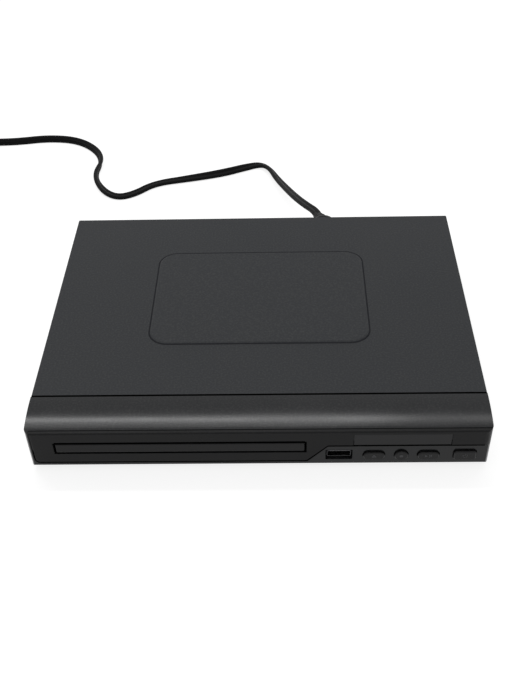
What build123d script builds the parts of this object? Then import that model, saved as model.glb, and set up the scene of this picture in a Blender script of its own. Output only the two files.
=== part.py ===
"""Compact disc player with a motor tray, a flat mains cord and its plug.

The origin is at the bottom centre of the player without its cord: +X to the right as seen from the
front, +Y to the rear, +Z up. Lengths are in millimetres and angles in degrees.
"""

from build123d import *
import os
from math import acos, asin, atan2, cos, degrees, pi, radians, sin, sqrt, tan

os.makedirs("parts", exist_ok=True)

# ---------------------------------------------------------------- case
body_width = 250.0  # bezel and cover alike
body_depth = 200.0  # nose line of the bezel to the rear edge of the cover
body_height = 30.4  # bottom edge of the bezel to the top of the cover
foot_height = 4.0
foot_radius = 8.0
foot_inset = 20.0  # foot centre from the sides and from the rear
cover_steel = 0.6
cover_skirt = 1.5  # bottom edge of the cover above that of the bezel
seam_depth = 23.4  # nose line to the rear edge of the bezel
seam_gap = 0.7
plateau_width = 131.0
plateau_depth = 93.0
plateau_corner = 12.3
plateau_rise = 0.8
plateau_slope = 2.0  # width of its sloping rim
plateau_centre = 113.0  # behind the nose line
vent_width = 2.4
vent_length = 12.0
vent_pitch = 6.0
vent_count = 9
chassis_steel = 0.8
chassis_front = 13.0  # front flange of the base, behind the nose line
flange_height = 8.0
front_flange = 4.0
panel_inset = 1.0  # rear panel in front of the rear edge of the cover
tab_width = 12.0
tab_height = 9.0
tab_inset = 14.0
screw_radius = 1.5
screw_head_radius = 2.9
screw_head_height = 1.6
screw_clearance = 0.1

# ---------------------------------------------------------------- front
nose_depth = 20.0  # depth of the rolled nose
nose_height = 27.5  # nose line above the bottom edge
front_lean = 4.0  # degrees that the front leans back towards its bottom
corner_radius = 4.0
toe_radius = 1.4
bezel_wall = 2.0
panel_wall = 1.8  # bezel wall behind the fascia
fascia_thickness = 2.5
fascia_proud = 0.8  # fascia in front of the bezel's face
fascia_gap = 0.15
fascia_left = 2.5  # rim of the bezel at the left of the fascia
fascia_right = 0.8
fascia_top_gap = 0.3  # under the nose line
fascia_low = 3.4  # lower edge of its long part, above the bottom edge
fascia_step = 15.5  # lower edge of its narrow part
fascia_slant_low = 98.1  # foot of the slanted end, from the right side
fascia_slant_high = 87.3
fascia_corner = 3.0
fascia_chamfer = 0.7
window_width = 52.5
window_height = 9.4
window_centre = 47.5  # from the right side
window_recess = 0.15
usb_centre = 81.2  # from the right side
usb_height = 8.1  # above the bottom edge
usb_opening_width = 14.6
usb_opening_height = 7.9
usb_recess = 1.6
usb_width = 13.1  # its metal shell
usb_shell_height = 5.7
usb_length = 14.0
shell_wall = 0.35  # sheet of both socket shells
button_proud = 1.5
button_gap = 0.4
button_travel = 0.6
button_height = 7.9  # middle of the caps above the bottom edge
pill_width = 11.6
pill_height = 5.6
round_button = 7.2  # diameter
power_width = 12.0
power_height = 6.8
open_button_x = 62.3  # centres from the right side
stop_button_x = 47.6
play_button_x = 33.0
power_button_x = 13.4
cap_flange = 1.2
switch_size = 6.0
switch_depth = 3.4
board_thickness = 1.6
display_depth = 6.0
display_width = 38.0
stem_radius = 1.6

# ---------------------------------------------------------------- tray and disc
opening_left = 14.5  # left side of the case to the tray opening
opening_width = 136.8
opening_height = 8.7
opening_centre = 15.35  # above the bottom edge
door_gap = 1.15
door_thickness = 2.4
tray_gap = 2.2  # each side of the tray in the opening
tray_height = 5.2
tray_rear = 160.0  # behind the nose line
tray_travel = 132.0
tray_skirt = 1.6
tray_floor = 1.4
tray_hollow = 2.2  # height of the space under the tray's floor
disc_centre = 72.0  # behind the nose line
disc_radius = 60.0
disc_clearance = 0.6
small_disc_radius = 40.0
small_disc_step = 0.6
slot_half_width = 21.0
scoop_radius = 11.0

# ---------------------------------------------------------------- loader
frame_wall = 3.5
frame_clearance = 0.5  # tray to frame, each side
frame_rear = 166.0
frame_front = 8.0
deck_thickness = 1.6
deck_drop = 2.75  # top of the deck under the tray
ledge_width = 2.6
rack_offset = 54.0  # left of the disc's centre
rack_module = 1.0
rack_teeth = 45
pinion_teeth = 14
drive_module = 0.8
big_teeth = 36
small_teeth = 12
gear_backlash = 0.24
gear_row = 20.0  # gear centres behind the nose line
gear_post_radius = 1.45
bearing_clearance = 0.05
pulley_radius = 10.4
motor_pulley_radius = 3.2
belt_size = 1.0
belt_span = 34.0
loading_motor_radius = 10.0
shaft_radius = 1.0  # of all three motors
pressure_angle = 20.0

spindle_motor_radius = 12.2
spindle_motor_height = 7.2
turntable_radius = 14.5
turntable_flange = 1.2
disc_lift = 0.6  # disc above the floor of the tray while it plays
cone_radius = 7.3
cone_height = 2.9
clamper_radius = 16.0
clamper_neck = 10.5
bridge_steel = 1.0
bridge_width = 30.0
bridge_rise = 4.6  # above the tray's rim

spindle_drop = 4.2  # how far the turntable goes down
traverse_half_width = 33.0
traverse_plate = 1.6
pivot_depth = 154.0  # behind the nose line
pivot_radius = 1.5
grommet_radius = 3.4
cam_row = 46.0  # middle of the cam slider behind the nose line
cam_thickness = 2.0
cam_travel = 14.0
cam_pin_radius = 1.5
cam_pin_offset = 20.0
rod_radius = 1.5
rod_offset = 24.0
sled_front = 86.0
sled_length = 26.0
sled_half_width = 19.0
sled_travel = 35.0
lens_start = 96.0  # lens at the inner track, behind the nose line
lens_radius = 2.2
screw_offset = 29.7
lead_radius = 1.5
sled_motor_radius = 3.7
sled_motor_length = 13.0
sled_shaft_depth = 5.0  # shaft inside the motor
thread_pitch = 1.5
thread_groove = 0.6  # width of each groove of the thread
thread_depth = 0.3
thread_turns = 24
thread_start = 5.0  # first groove behind the front end of the screw

# ---------------------------------------------------------------- rear and boards
jack_reach = 8.5  # barrels beyond the rear edge of the cover
jack_radius = 4.15
jack_root_radius = 4.45  # under the coloured collar
jack_wall = 0.5
jack_pitch = 14.0
jack_right = 16.0  # nearest jack from the right side
jack_rise = 7.0  # above the main board
collar_radius = 5.5
collar_thickness = 2.0
hdmi_offset = 64.0  # from the right side
hdmi_width = 15.0
hdmi_height = 5.6
hdmi_length = 11.0
gland_offset = 83.0  # from the right side
gland_height = 21.5  # above the bottom edge of the bezel
gland_radius = 8.0
gland_extra_width = 0.5
gland_head = 6.5
gland_boot = 12.0
boot_lean = 3.0  # the cord pulls the boot's end to the left and down
boot_sag = 1.0
gland_neck = 6.3
standoff_height = 5.0
main_board_width = 66.0
main_board_depth = 76.0
power_board_width = 84.0
power_board_depth = 68.0
power_board_front = 34.0
transformer_width = 24.0
transformer_depth = 22.0
transformer_height = 18.0
bobbin_base = 3.0
winding_width = 16.0
winding_height = 13.0
core_depth = 10.0
big_can = (8.0, 18.0)  # radius and height of the capacitors
middle_can = (5.0, 13.0)
small_can = (4.0, 11.0)
can_round = 0.8
fuse_length = 20.0
fuse_radius = 2.5
fuse_rise = 4.0  # middle of the fuse above the board
fuse_inset = 14.0  # in front of the board's rear edge
fuse_clip_pitch = 15.0
fuse_clip_length = 4.0
fuse_clip_width = 6.4
jack_block_depth = 11.0
jack_block_rise = 6.5  # block above the middle of the jacks
jack_core_inset = 1.5
jack_bore = 1.65
lead_radius_mains = 0.9
lead_spacing = 3.6
lead_bend = 5.0
lead_rise = 9.0  # leads above the power board, before they go down to it
lead_shift = 8.0
flex_width = 16.0
flex_thickness = 0.15
flex_inset = 24.9  # rear edge of the cable behind the front edge of the main board
flex_rise = 5.0
flex_reach = 6.0  # beyond the side of the main board
flex_socket_width = 6.0
flex_socket_height = 5.2

# ---------------------------------------------------------------- cord and plug
cord_diameter = 4.2  # round stand-in for the flat cord, 6.4 by 3.2
coil_pitch = 4.8
coil_layer = 5.9
coil_inner_radius = 25.5
coil_turns_in = 2.25
coil_turns_out = 2.0
coil_tail = 24.0  # straight end of the coil, to the plug
plug_width = 24.0
plug_corner = 4.0
plug_length = 27.0
plug_neck = 13.0
blade_root = 4.0
blade_hole = 1.6
blade_spacing = 12.7
blade_width = 6.3
blade_thickness = 1.5
blade_length = 17.0

# ---------------------------------------------------------------- places that follow
lean = radians(front_lean)
base_z = foot_height
top_z = base_z + body_height
nose_z = base_z + nose_height
right_x = body_width / 2
left_x = -right_x
fascia_top = nose_height - fascia_top_gap
foremost = -fascia_thickness + (nose_height - fascia_top + fascia_chamfer) * tan(lean)
front_y = -(body_depth + jack_reach + foremost) / 2
rear_y = front_y + body_depth
seam_y = front_y + seam_depth
panel_y = rear_y - panel_inset
floor_z = base_z + chassis_steel
tray_x = left_x + opening_left + opening_width / 2
tray_half = opening_width / 2 - tray_gap
tray_z = base_z + opening_centre - tray_height / 2
tray_top = tray_z + tray_height
tray_rear_y = front_y + tray_rear
disc_y = front_y + disc_centre
tray_floor_z = tray_z + tray_hollow
well_z = tray_floor_z + tray_floor
deck_z = tray_z - deck_drop
board_z = floor_z + standoff_height + board_thickness


def face_y(z, behind=0.0):
    """Y of a plane that lies behind the fascia's leaning face, at height z."""
    return front_y - fascia_thickness + (nose_z - z) * tan(lean) + behind


def front_plane(behind=0.0):
    """Leaning plane of the front; its local y is the height above the bezel's bottom edge."""
    return Plane(
        origin=(0, face_y(base_z, behind), base_z),
        x_dir=(1, 0, 0),
        z_dir=(0, -cos(lean), -sin(lean)),
    )


def save(piece, name):
    """Label a finished piece and write it."""
    piece.label = name
    export_step(piece, f"parts/{name}.step")


def block(x, y, z, mode=Mode.ADD):
    """Box between two limits on each axis."""
    with Locations(((x[0] + x[1]) / 2, (y[0] + y[1]) / 2, (z[0] + z[1]) / 2)):
        Box(x[1] - x[0], y[1] - y[0], z[1] - z[0], mode=mode)


def post(x, y, z, radius, mode=Mode.ADD):
    """Upright cylinder between two heights."""
    with Locations((x, y, (z[0] + z[1]) / 2)):
        Cylinder(radius, z[1] - z[0], mode=mode)


def rod_x(x, y, z, radius, mode=Mode.ADD):
    """Cylinder along X between two limits."""
    with Locations(Location(((x[0] + x[1]) / 2, y, z), (0, 90, 0))):
        Cylinder(radius, x[1] - x[0], mode=mode)


def rod_y(x, y, z, radius, mode=Mode.ADD):
    """Cylinder along Y between two limits."""
    with Locations(Location((x, (y[0] + y[1]) / 2, z), (90, 0, 0))):
        Cylinder(radius, y[1] - y[0], mode=mode)


def screw(plane, shank_length):
    """Pan-head screw with a cross recess; the plane is the seat of its head."""
    centre = Align.CENTER
    with Locations(plane):
        Cone(
            screw_head_radius,
            screw_head_radius * 0.8,
            screw_head_height,
            align=(centre, centre, Align.MIN),
        )
        Cylinder(screw_radius, shank_length, align=(centre, centre, Align.MAX))
    with Locations(plane.offset(screw_head_height)):
        for width, depth in ((2.0, 0.5), (0.5, 2.0)):
            Box(
                screw_radius * width,
                screw_radius * depth,
                screw_head_height,
                align=(centre, centre, centre),
                mode=Mode.SUBTRACT,
            )


# ================================================================ case
side_screw_y = [front_y + body_depth * 0.32, front_y + body_depth * 0.82]
side_screw_z = base_z + flange_height * 0.6
cover_screw_length = cover_steel + chassis_steel + 2.2
tab_x = right_x - tab_inset - tab_width / 2
tab_screw_z = top_z - tab_height * 0.6
cover_front_y = seam_y + seam_gap
vent_start = front_y + body_depth * 0.5
vent_z = base_z + body_height * 0.58

with BuildPart() as top_cover:
    block((left_x, right_x), (cover_front_y, rear_y), (base_z + cover_skirt, top_z))
    block(
        (left_x + cover_steel, right_x - cover_steel),
        (cover_front_y - 1, rear_y + 1),
        (base_z, top_z - cover_steel),
        Mode.SUBTRACT,
    )
    fillet(top_cover.edges().filter_by(Axis.Y).group_by(Axis.Z)[-1], radius=cover_steel * 1.5)
    # Raised panel, pressed up from below.
    for shrink, height, mode in ((0, 0, Mode.ADD), (cover_steel, -cover_steel, Mode.SUBTRACT)):
        for step in (0, 1):
            with BuildSketch(Plane.XY.offset(top_z + height + step * plateau_rise)):
                with Locations((0, front_y + plateau_centre)):
                    RectangleRounded(
                        plateau_width - 2 * shrink - 2 * step * plateau_slope,
                        plateau_depth - 2 * shrink - 2 * step * plateau_slope,
                        plateau_corner - shrink - step * plateau_slope,
                    )
        loft(mode=mode)
    # Tongue that runs forward under the bezel and closes the seam.
    tongue_z = top_z - bezel_wall - cover_steel
    block(
        (left_x + bezel_wall + 1, right_x - bezel_wall - 1),
        (cover_front_y, cover_front_y + cover_steel),
        (tongue_z, top_z - cover_steel / 2),
    )
    block(
        (left_x + bezel_wall + 1, right_x - bezel_wall - 1),
        (seam_y - 3, cover_front_y + cover_steel),
        (tongue_z, tongue_z + cover_steel),
    )
    # Tabs over the rear panel.
    for side in (-1, 1):
        block(
            (side * tab_x - tab_width / 2, side * tab_x + tab_width / 2),
            (panel_y, panel_y + cover_steel),
            (top_z - tab_height, top_z - cover_steel / 2),
        )
        rod_y(
            side * tab_x,
            (panel_y - 1, rear_y + 1),
            tab_screw_z,
            screw_radius + screw_clearance,
            Mode.SUBTRACT,
        )
        for y in side_screw_y:
            rod_x(
                (side * right_x - 2, side * right_x + 2),
                y,
                side_screw_z,
                screw_radius + screw_clearance,
                Mode.SUBTRACT,
            )
        for index in range(vent_count):
            with Locations((side * right_x, vent_start + index * vent_pitch, vent_z)):
                Box(4 * cover_steel, vent_width, vent_length, mode=Mode.SUBTRACT)
save(top_cover.part, "top_cover")

base_half = right_x - cover_steel
jack_x = [right_x - jack_right - jack_pitch * index for index in range(3)]
jack_z = board_z + jack_rise
hdmi_x = right_x - hdmi_offset
hdmi_z = board_z + hdmi_height / 2
gland_x = right_x - gland_offset
gland_z = base_z + gland_height
panel_top = top_z - cover_steel
chassis_front_y = front_y + chassis_front
feet = [
    (side * (right_x - foot_inset), y)
    for side in (-1, 1)
    for y in (chassis_front_y + foot_radius + 1, rear_y - foot_inset)
]
main_board_x = (right_x - 4 - main_board_width, right_x - 4)
main_board_y = (panel_y - chassis_steel - 1 - main_board_depth, panel_y - chassis_steel - 1)
power_board_x = (right_x - 4 - power_board_width, right_x - 4)
power_board_y = (front_y + power_board_front, front_y + power_board_front + power_board_depth)
board_inset = 4.0
main_board_inset = 18.0  # rear screws of the main board, in front of the sockets
board_posts = [
    (x, y)
    for board_x, board_y, rear_inset in (
        (main_board_x, main_board_y, main_board_inset),
        (power_board_x, power_board_y, board_inset),
    )
    for x in (board_x[0] + board_inset, board_x[1] - board_inset)
    for y in (board_y[0] + board_inset, board_y[1] - rear_inset)
]
frame_half = tray_half + frame_clearance + frame_wall
leg_size = 8.0
leg_posts = [
    (tray_x + side * (frame_half - leg_size / 2), y)
    for side in (-1, 1)
    for y in (front_y + chassis_front + 2.8 * leg_size, front_y + frame_rear - leg_size)
]
boss_radius = 3.2
leg_boss_height = 1.4

with BuildPart() as chassis_base:
    # Pan: narrower where it runs in between the bezel's sides.
    block(
        (left_x + bezel_wall, right_x - bezel_wall),
        (chassis_front_y, seam_y + seam_gap),
        (base_z, floor_z),
    )
    block((-base_half, base_half), (seam_y + seam_gap, panel_y), (base_z, floor_z))
    block(
        (left_x + bezel_wall, right_x - bezel_wall),
        (chassis_front_y, chassis_front_y + chassis_steel),
        (base_z, base_z + front_flange),
    )
    block((-base_half, base_half), (panel_y - chassis_steel, panel_y), (base_z, panel_top))
    block((-base_half, base_half), (panel_y - 8, panel_y), (panel_top - chassis_steel, panel_top))
    for side in (-1, 1):
        block(
            tuple(sorted((side * base_half, side * (base_half - chassis_steel)))),
            (seam_y + seam_gap, panel_y),
            (base_z, base_z + flange_height),
        )
        for y in side_screw_y:
            rod_x(
                tuple(sorted((side * (base_half - 3), side * (base_half + 1)))),
                y,
                side_screw_z,
                screw_radius + screw_clearance,
                Mode.SUBTRACT,
            )
        rod_y(
            side * tab_x,
            (panel_y - 2, panel_y + 1),
            tab_screw_z,
            screw_radius + screw_clearance,
            Mode.SUBTRACT,
        )
    # Bosses under the boards and under the loader's legs.
    for x, y in board_posts:
        post(x, y, (floor_z, floor_z + standoff_height), boss_radius)
        post(x, y, (base_z - 1, floor_z + standoff_height + 1), screw_radius, Mode.SUBTRACT)
    for x, y in leg_posts:
        post(x, y, (floor_z, floor_z + leg_boss_height), boss_radius)
        post(x, y, (base_z - 1, floor_z + leg_boss_height + 1), screw_radius, Mode.SUBTRACT)
    # Rear panel: gland, jacks, HDMI socket and two rows of vents.
    rod_y(gland_x, (panel_y - 2, panel_y + 1), gland_z, gland_neck, Mode.SUBTRACT)
    for x in jack_x:
        rod_y(x, (panel_y - 2, panel_y + 1), jack_z, jack_root_radius + 0.1, Mode.SUBTRACT)
    with Locations((hdmi_x, panel_y, hdmi_z)):
        Box(hdmi_width + 0.6, 4 * chassis_steel, hdmi_height + 0.6, mode=Mode.SUBTRACT)
    with Locations((tray_x, panel_y, base_z + body_height * 0.55)):
        with GridLocations(vent_pitch * 0.9, 1, 16, 1):
            Box(vent_width, 4 * chassis_steel, vent_length, mode=Mode.SUBTRACT)
    # Foot holes take the stems of the feet.
    for x, y in feet:
        post(x, y, (base_z - 1, floor_z + 1), foot_radius * 0.3, Mode.SUBTRACT)
save(chassis_base.part, "chassis_base")

with BuildPart() as rubber_feet:
    for x, y in feet:
        with BuildSketch(Plane.XY):
            with Locations((x, y)):
                Circle(foot_radius * 0.92)
        with BuildSketch(Plane.XY.offset(foot_height)):
            with Locations((x, y)):
                Circle(foot_radius)
        loft()
        post(x, y, (foot_height, floor_z + 0.8), foot_radius * 0.3)
        post(x, y, (0, foot_height * 0.25), foot_radius * 0.45, Mode.SUBTRACT)
save(rubber_feet.part, "rubber_feet")

with BuildPart() as cover_screws:
    for side in (-1, 1):
        for y in side_screw_y:
            seat = Plane(origin=(side * right_x, y, side_screw_z), z_dir=(side, 0, 0))
            screw(seat, cover_screw_length)
        seat = Plane(origin=(side * tab_x, panel_y + cover_steel, tab_screw_z), z_dir=(0, 1, 0))
        screw(seat, cover_screw_length)
save(cover_screws.part, "cover_screws")

with BuildPart() as inner_screws:
    for x, y in board_posts:
        screw(Plane(origin=(x, y, board_z), z_dir=(0, 0, 1)), board_thickness + 3)
    for x, y in leg_posts:
        screw(
            Plane(origin=(x, y, deck_z), z_dir=(0, 0, 1)),
            deck_z - floor_z,
        )
save(inner_screws.part, "inner_screws")

# ================================================================ front
usb_x = right_x - usb_centre
window_x = right_x - window_centre
buttons = {
    "open_close_button": (right_x - open_button_x, "pill"),
    "stop_button": (right_x - stop_button_x, "round"),
    "play_pause_button": (right_x - play_button_x, "pill"),
    "power_button": (right_x - power_button_x, "power"),
}


# Outline of the fascia on the leaning plane.
with BuildSketch() as fascia_shape:
    Polygon(
        (left_x + fascia_left, fascia_top),
        (left_x + fascia_left, fascia_low),
        (right_x - fascia_slant_low, fascia_low),
        (right_x - fascia_slant_high, fascia_step),
        (right_x - fascia_right, fascia_step),
        (right_x - fascia_right, fascia_top),
        align=None,
    )
    for corner, radius in (
        ((left_x + fascia_left, fascia_low), fascia_corner),
        ((right_x - fascia_slant_low, fascia_low), fascia_corner / 2),
    ):
        fillet(fascia_shape.vertices().sort_by_distance(corner)[0], radius=radius)

# Plan of the case at the front, with rounded corners, on the level of its bottom edge.
with BuildSketch(Plane.XY.offset(base_z)) as front_plan:
    with Locations((0, (face_y(base_z) + seam_y + 10) / 2)):
        Rectangle(body_width, seam_y + 10 - face_y(base_z))
    fillet(front_plan.vertices().group_by(Axis.Y)[0], radius=corner_radius)
lean_way = (0, -sin(lean), cos(lean))
lean_height = body_height + 4


def button_outline(kind, grow=0.0):
    """Outline of a button's cap, grown for its hole or flange."""
    if kind == "pill":
        SlotOverall(pill_width + 2 * grow, pill_height + 2 * grow)
    elif kind == "round":
        Circle(round_button / 2 + grow)
    else:
        RectangleRounded(power_width + 2 * grow, power_height + 2 * grow, 1.6 + grow)


with BuildPart() as front_bezel:
    with BuildSketch(Plane.YZ) as profile:
        with BuildLine():
            crown = Line((seam_y, top_z), (front_y + nose_depth, top_z))
            nose = TangentArc((front_y + nose_depth, top_z), (front_y, nose_z), tangent=(-1, 0))
            rim_z = nose_z - 0.5
            Polyline(
                (front_y, nose_z),
                (face_y(rim_z, fascia_proud), rim_z),
                (face_y(base_z, fascia_proud), base_z),
                (seam_y, base_z),
                (seam_y, top_z),
            )
        make_face()
        fillet(
            profile.vertices().sort_by_distance((face_y(base_z, fascia_proud), base_z))[0],
            radius=toe_radius,
        )
    extrude(amount=body_width / 2, both=True)
    extrude(front_plan.sketch, amount=lean_height, dir=lean_way, mode=Mode.INTERSECT)
    # Hollow behind the front wall.
    wall_back = fascia_thickness + panel_wall
    with BuildSketch(Plane.YZ):
        with BuildLine():
            low = base_z + bezel_wall
            high = nose_z - 1.4
            Polyline(
                (front_y + nose_depth, top_z - bezel_wall),
                (seam_y + 1, top_z - bezel_wall),
                (seam_y + 1, low),
                (face_y(low, wall_back), low),
                (face_y(high, wall_back), high),
            )
            TangentArc(
                (front_y + nose_depth, top_z - bezel_wall),
                (face_y(high, wall_back), high),
                tangent=(-1, 0),
            )
        make_face()
    extrude(amount=body_width / 2 - bezel_wall, both=True, mode=Mode.SUBTRACT)
    # The base takes over from the bezel's bottom wall.
    block(
        (left_x + bezel_wall, right_x - bezel_wall),
        (chassis_front_y, seam_y + 1),
        (base_z - 1, base_z + bezel_wall + 1),
        Mode.SUBTRACT,
    )
    # Pocket of the fascia.
    with BuildSketch(front_plane(fascia_thickness)):
        add(fascia_shape.sketch)
        with Locations(((fascia_left - fascia_right) / 2, nose_height)):
            Rectangle(body_width - fascia_left - fascia_right, 6)
        offset(amount=fascia_gap, kind=Kind.INTERSECTION)
    extrude(amount=8, mode=Mode.SUBTRACT)
    # Slot of the tray, openings of the USB socket, display and buttons.
    with BuildSketch(front_plane(fascia_thickness)):
        with Locations((tray_x, opening_centre)):
            Rectangle(opening_width + 1, opening_height + 1)
        with Locations((window_x, fascia_step + window_height / 2)):
            Rectangle(window_width - 4, window_height - 2.4)
        with Locations((usb_x, usb_height)):
            RectangleRounded(usb_opening_width, usb_opening_height, 0.7)
        for x, kind in buttons.values():
            with Locations((x, button_height)):
                button_outline(kind, button_gap)
    extrude(amount=6, both=True, mode=Mode.SUBTRACT)
save(front_bezel.part, "front_bezel")

with BuildPart() as fascia_panel:
    with BuildSketch(front_plane(fascia_thickness)):
        add(fascia_shape.sketch)
    extrude(amount=fascia_thickness * cos(lean))
    chamfer(
        fascia_panel.faces().sort_by(Axis.Y)[0].edges().filter_by(Axis.X).sort_by(Axis.Z)[-1],
        length=fascia_chamfer,
    )
    extrude(front_plan.sketch, amount=lean_height, dir=lean_way, mode=Mode.INTERSECT)
    with BuildSketch(front_plane(fascia_thickness)):
        with Locations((tray_x, opening_centre)):
            Rectangle(opening_width, opening_height)
        with Locations((window_x, fascia_step + window_height / 2 - 1)):
            Rectangle(window_width, window_height + 2)
    extrude(amount=6, both=True, mode=Mode.SUBTRACT)
save(fascia_panel.part, "fascia_panel")

with BuildPart() as display_window:
    with BuildSketch(front_plane(fascia_thickness)):
        with Locations((window_x, fascia_step + window_height / 2)):
            Rectangle(window_width - 2 * fascia_gap, window_height - fascia_gap)
    extrude(amount=(fascia_thickness - window_recess) * cos(lean))
save(display_window.part, "display_window")

with BuildPart() as tray_door:
    with BuildSketch(front_plane(door_thickness)):
        with Locations((tray_x, opening_centre)):
            Rectangle(opening_width - 2 * door_gap, opening_height - 2 * door_gap)
    extrude(amount=door_thickness * cos(lean))
    chamfer(tray_door.faces().sort_by(Axis.Y)[0].edges(), length=0.3)
save(tray_door.part, "tray_door")

# Buttons: cap, flange behind the wall and a stem that works the switch.
front_board_y = face_y(base_z + button_height, wall_back) + cap_flange + switch_depth + 1.2
button_parts = {}
for name, (x, kind) in buttons.items():
    with BuildPart() as button:
        with BuildSketch(front_plane(wall_back)):
            with Locations((x, button_height)):
                button_outline(kind)
        extrude(amount=(wall_back - fascia_proud + button_proud) * cos(lean))
        chamfer(button.faces().sort_by(Axis.Y)[0].edges(), length=0.5)
        with BuildSketch(front_plane(wall_back)):
            with Locations((x, button_height)):
                button_outline(kind, button_gap + 0.5)
        extrude(amount=-cap_flange)
        rod_y(
            x,
            (front_board_y - switch_depth - 2, front_board_y - switch_depth + 0.9),
            base_z + button_height,
            stem_radius,
        )
    save(button.part, name)

with BuildPart() as tact_switches:
    for x, kind in buttons.values():
        block(
            (x - switch_size / 2, x + switch_size / 2),
            (front_board_y - switch_depth, front_board_y),
            (
                base_z + button_height - switch_size / 2,
                base_z + button_height + switch_size / 2,
            ),
        )
        rod_y(
            x,
            (front_board_y - switch_depth - 1, front_board_y - switch_depth + 0.9 + button_travel + 0.2),
            base_z + button_height,
            stem_radius + 0.2,
            Mode.SUBTRACT,
        )
save(tact_switches.part, "tact_switches")

usb_z = base_z + usb_height
usb_mouth_y = face_y(usb_z, fascia_proud) + usb_recess
front_board_x = (usb_x - usb_width / 2 - 3, right_x - bezel_wall - 1.5)
front_board_z = (base_z + bezel_wall + 0.5, nose_z - 3)

with BuildPart() as front_board:
    block(front_board_x, (front_board_y, front_board_y + board_thickness), front_board_z)
    block(
        (usb_x - usb_width / 2, usb_x + usb_width / 2),
        (front_board_y - 1, front_board_y + board_thickness + 1),
        (usb_z - usb_shell_height / 2, usb_z + usb_shell_height / 2),
        Mode.SUBTRACT,
    )
save(front_board.part, "front_board")


def socket_shell(x, z, y, width, height):
    """Folded metal shell of a socket, open at the end that y names first."""
    length = abs(y[1] - y[0])
    facing = 1 if y[1] > y[0] else -1
    plane = Plane(origin=(x, y[0], z), x_dir=(1, 0, 0), z_dir=(0, facing, 0))
    with BuildSketch(plane) as outside:
        RectangleRounded(width, height, 0.8)
    extrude(outside.sketch, amount=length)
    with BuildSketch(plane) as inside:
        RectangleRounded(width - 2 * shell_wall, height - 2 * shell_wall, 0.5)
    extrude(inside.sketch, amount=length - shell_wall, mode=Mode.SUBTRACT)


with BuildPart() as usb_shell:
    socket_shell(usb_x, usb_z, (usb_mouth_y, usb_mouth_y + usb_length), usb_width, usb_shell_height)
save(usb_shell.part, "usb_shell")

hdmi_mouth_y = panel_y + 0.4
with BuildPart() as hdmi_shell:
    socket_shell(hdmi_x, hdmi_z, (hdmi_mouth_y, hdmi_mouth_y - hdmi_length), hdmi_width, hdmi_height)
save(hdmi_shell.part, "hdmi_shell")

with BuildPart() as socket_tongues:
    # USB: contact tongue under the roof of the shell, on a block at its rear.
    usb_back = usb_mouth_y + usb_length - shell_wall
    block(
        (usb_x - usb_width / 2 + shell_wall + 0.3, usb_x + usb_width / 2 - shell_wall - 0.3),
        (usb_back - 4, usb_back),
        (usb_z - usb_shell_height / 2 + shell_wall + 0.3, usb_z + usb_shell_height / 2 - shell_wall - 0.3),
    )
    block(
        (usb_x - 5.6, usb_x + 5.6),
        (usb_mouth_y + 1.5, usb_back - 4),
        (usb_z + usb_shell_height / 2 - 2.6, usb_z + usb_shell_height / 2 - 0.7),
    )
    # HDMI: thin tongue in the middle.
    hdmi_back = hdmi_mouth_y - hdmi_length + shell_wall
    block(
        (hdmi_x - hdmi_width / 2 + shell_wall + 0.3, hdmi_x + hdmi_width / 2 - shell_wall - 0.3),
        (hdmi_back, hdmi_back + 3),
        (hdmi_z - hdmi_height / 2 + shell_wall + 0.3, hdmi_z + hdmi_height / 2 - shell_wall - 0.3),
    )
    block(
        (hdmi_x - 5.2, hdmi_x + 5.2),
        (hdmi_back + 3, hdmi_mouth_y - 1),
        (hdmi_z - 0.3, hdmi_z + 1.1),
    )
save(socket_tongues.part, "socket_tongues")

display_z = base_z + fascia_step + window_height / 2
with BuildPart() as display_module:
    block(
        (window_x - display_width / 2 + 4, window_x + display_width / 2 + 4),
        (front_board_y - display_depth, front_board_y),
        (display_z - 4.6, display_z + 3.4),
    )
save(display_module.part, "display_module")

with BuildPart() as ir_receiver:
    ir_x = window_x - window_width / 2 + 7
    block(
        (ir_x - 3, ir_x + 3),
        (front_board_y - 5, front_board_y),
        (display_z - 4, display_z + 3),
    )
    with Locations((ir_x, front_board_y - 5, display_z - 0.5)):
        Sphere(1.9)
save(ir_receiver.part, "ir_receiver")

# ================================================================ tray
rack_x = tray_x - rack_offset
rack_pitch = pi * rack_module
pinion_radius = pinion_teeth * rack_module / 2
big_radius = big_teeth * drive_module / 2
small_radius = small_teeth * drive_module / 2
tray_gear_x = rack_x + pinion_radius
pulley_gear_x = tray_gear_x + big_radius + small_radius
motor_x = pulley_gear_x + belt_span
gear_y = front_y + gear_row
pressure = radians(pressure_angle)


def gear_outline(x, y, teeth, module, turn):
    """Involute gear in the XY plane, with a tooth's middle at the angle turn."""
    pitch_radius = teeth * module / 2
    base_radius = pitch_radius * cos(pressure)
    root = pitch_radius - 1.2 * module
    radii = [root, max(base_radius, root + 0.01), pitch_radius, pitch_radius + 0.95 * module]
    half = pi / (2 * teeth) - gear_backlash / (2 * pitch_radius)
    spread = half + tan(pressure) - pressure
    points = []
    for tooth in range(teeth):
        middle = turn + 2 * pi * tooth / teeth
        flank = []
        for radius in radii:
            slope = acos(min(1.0, base_radius / radius))
            flank.append((radius, spread - (tan(slope) - slope)))
        for radius, angle in flank:
            points.append((x + radius * cos(middle - angle), y + radius * sin(middle - angle)))
        for radius, angle in reversed(flank):
            points.append((x + radius * cos(middle + angle), y + radius * sin(middle + angle)))
    Polygon(*points, align=None)


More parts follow.
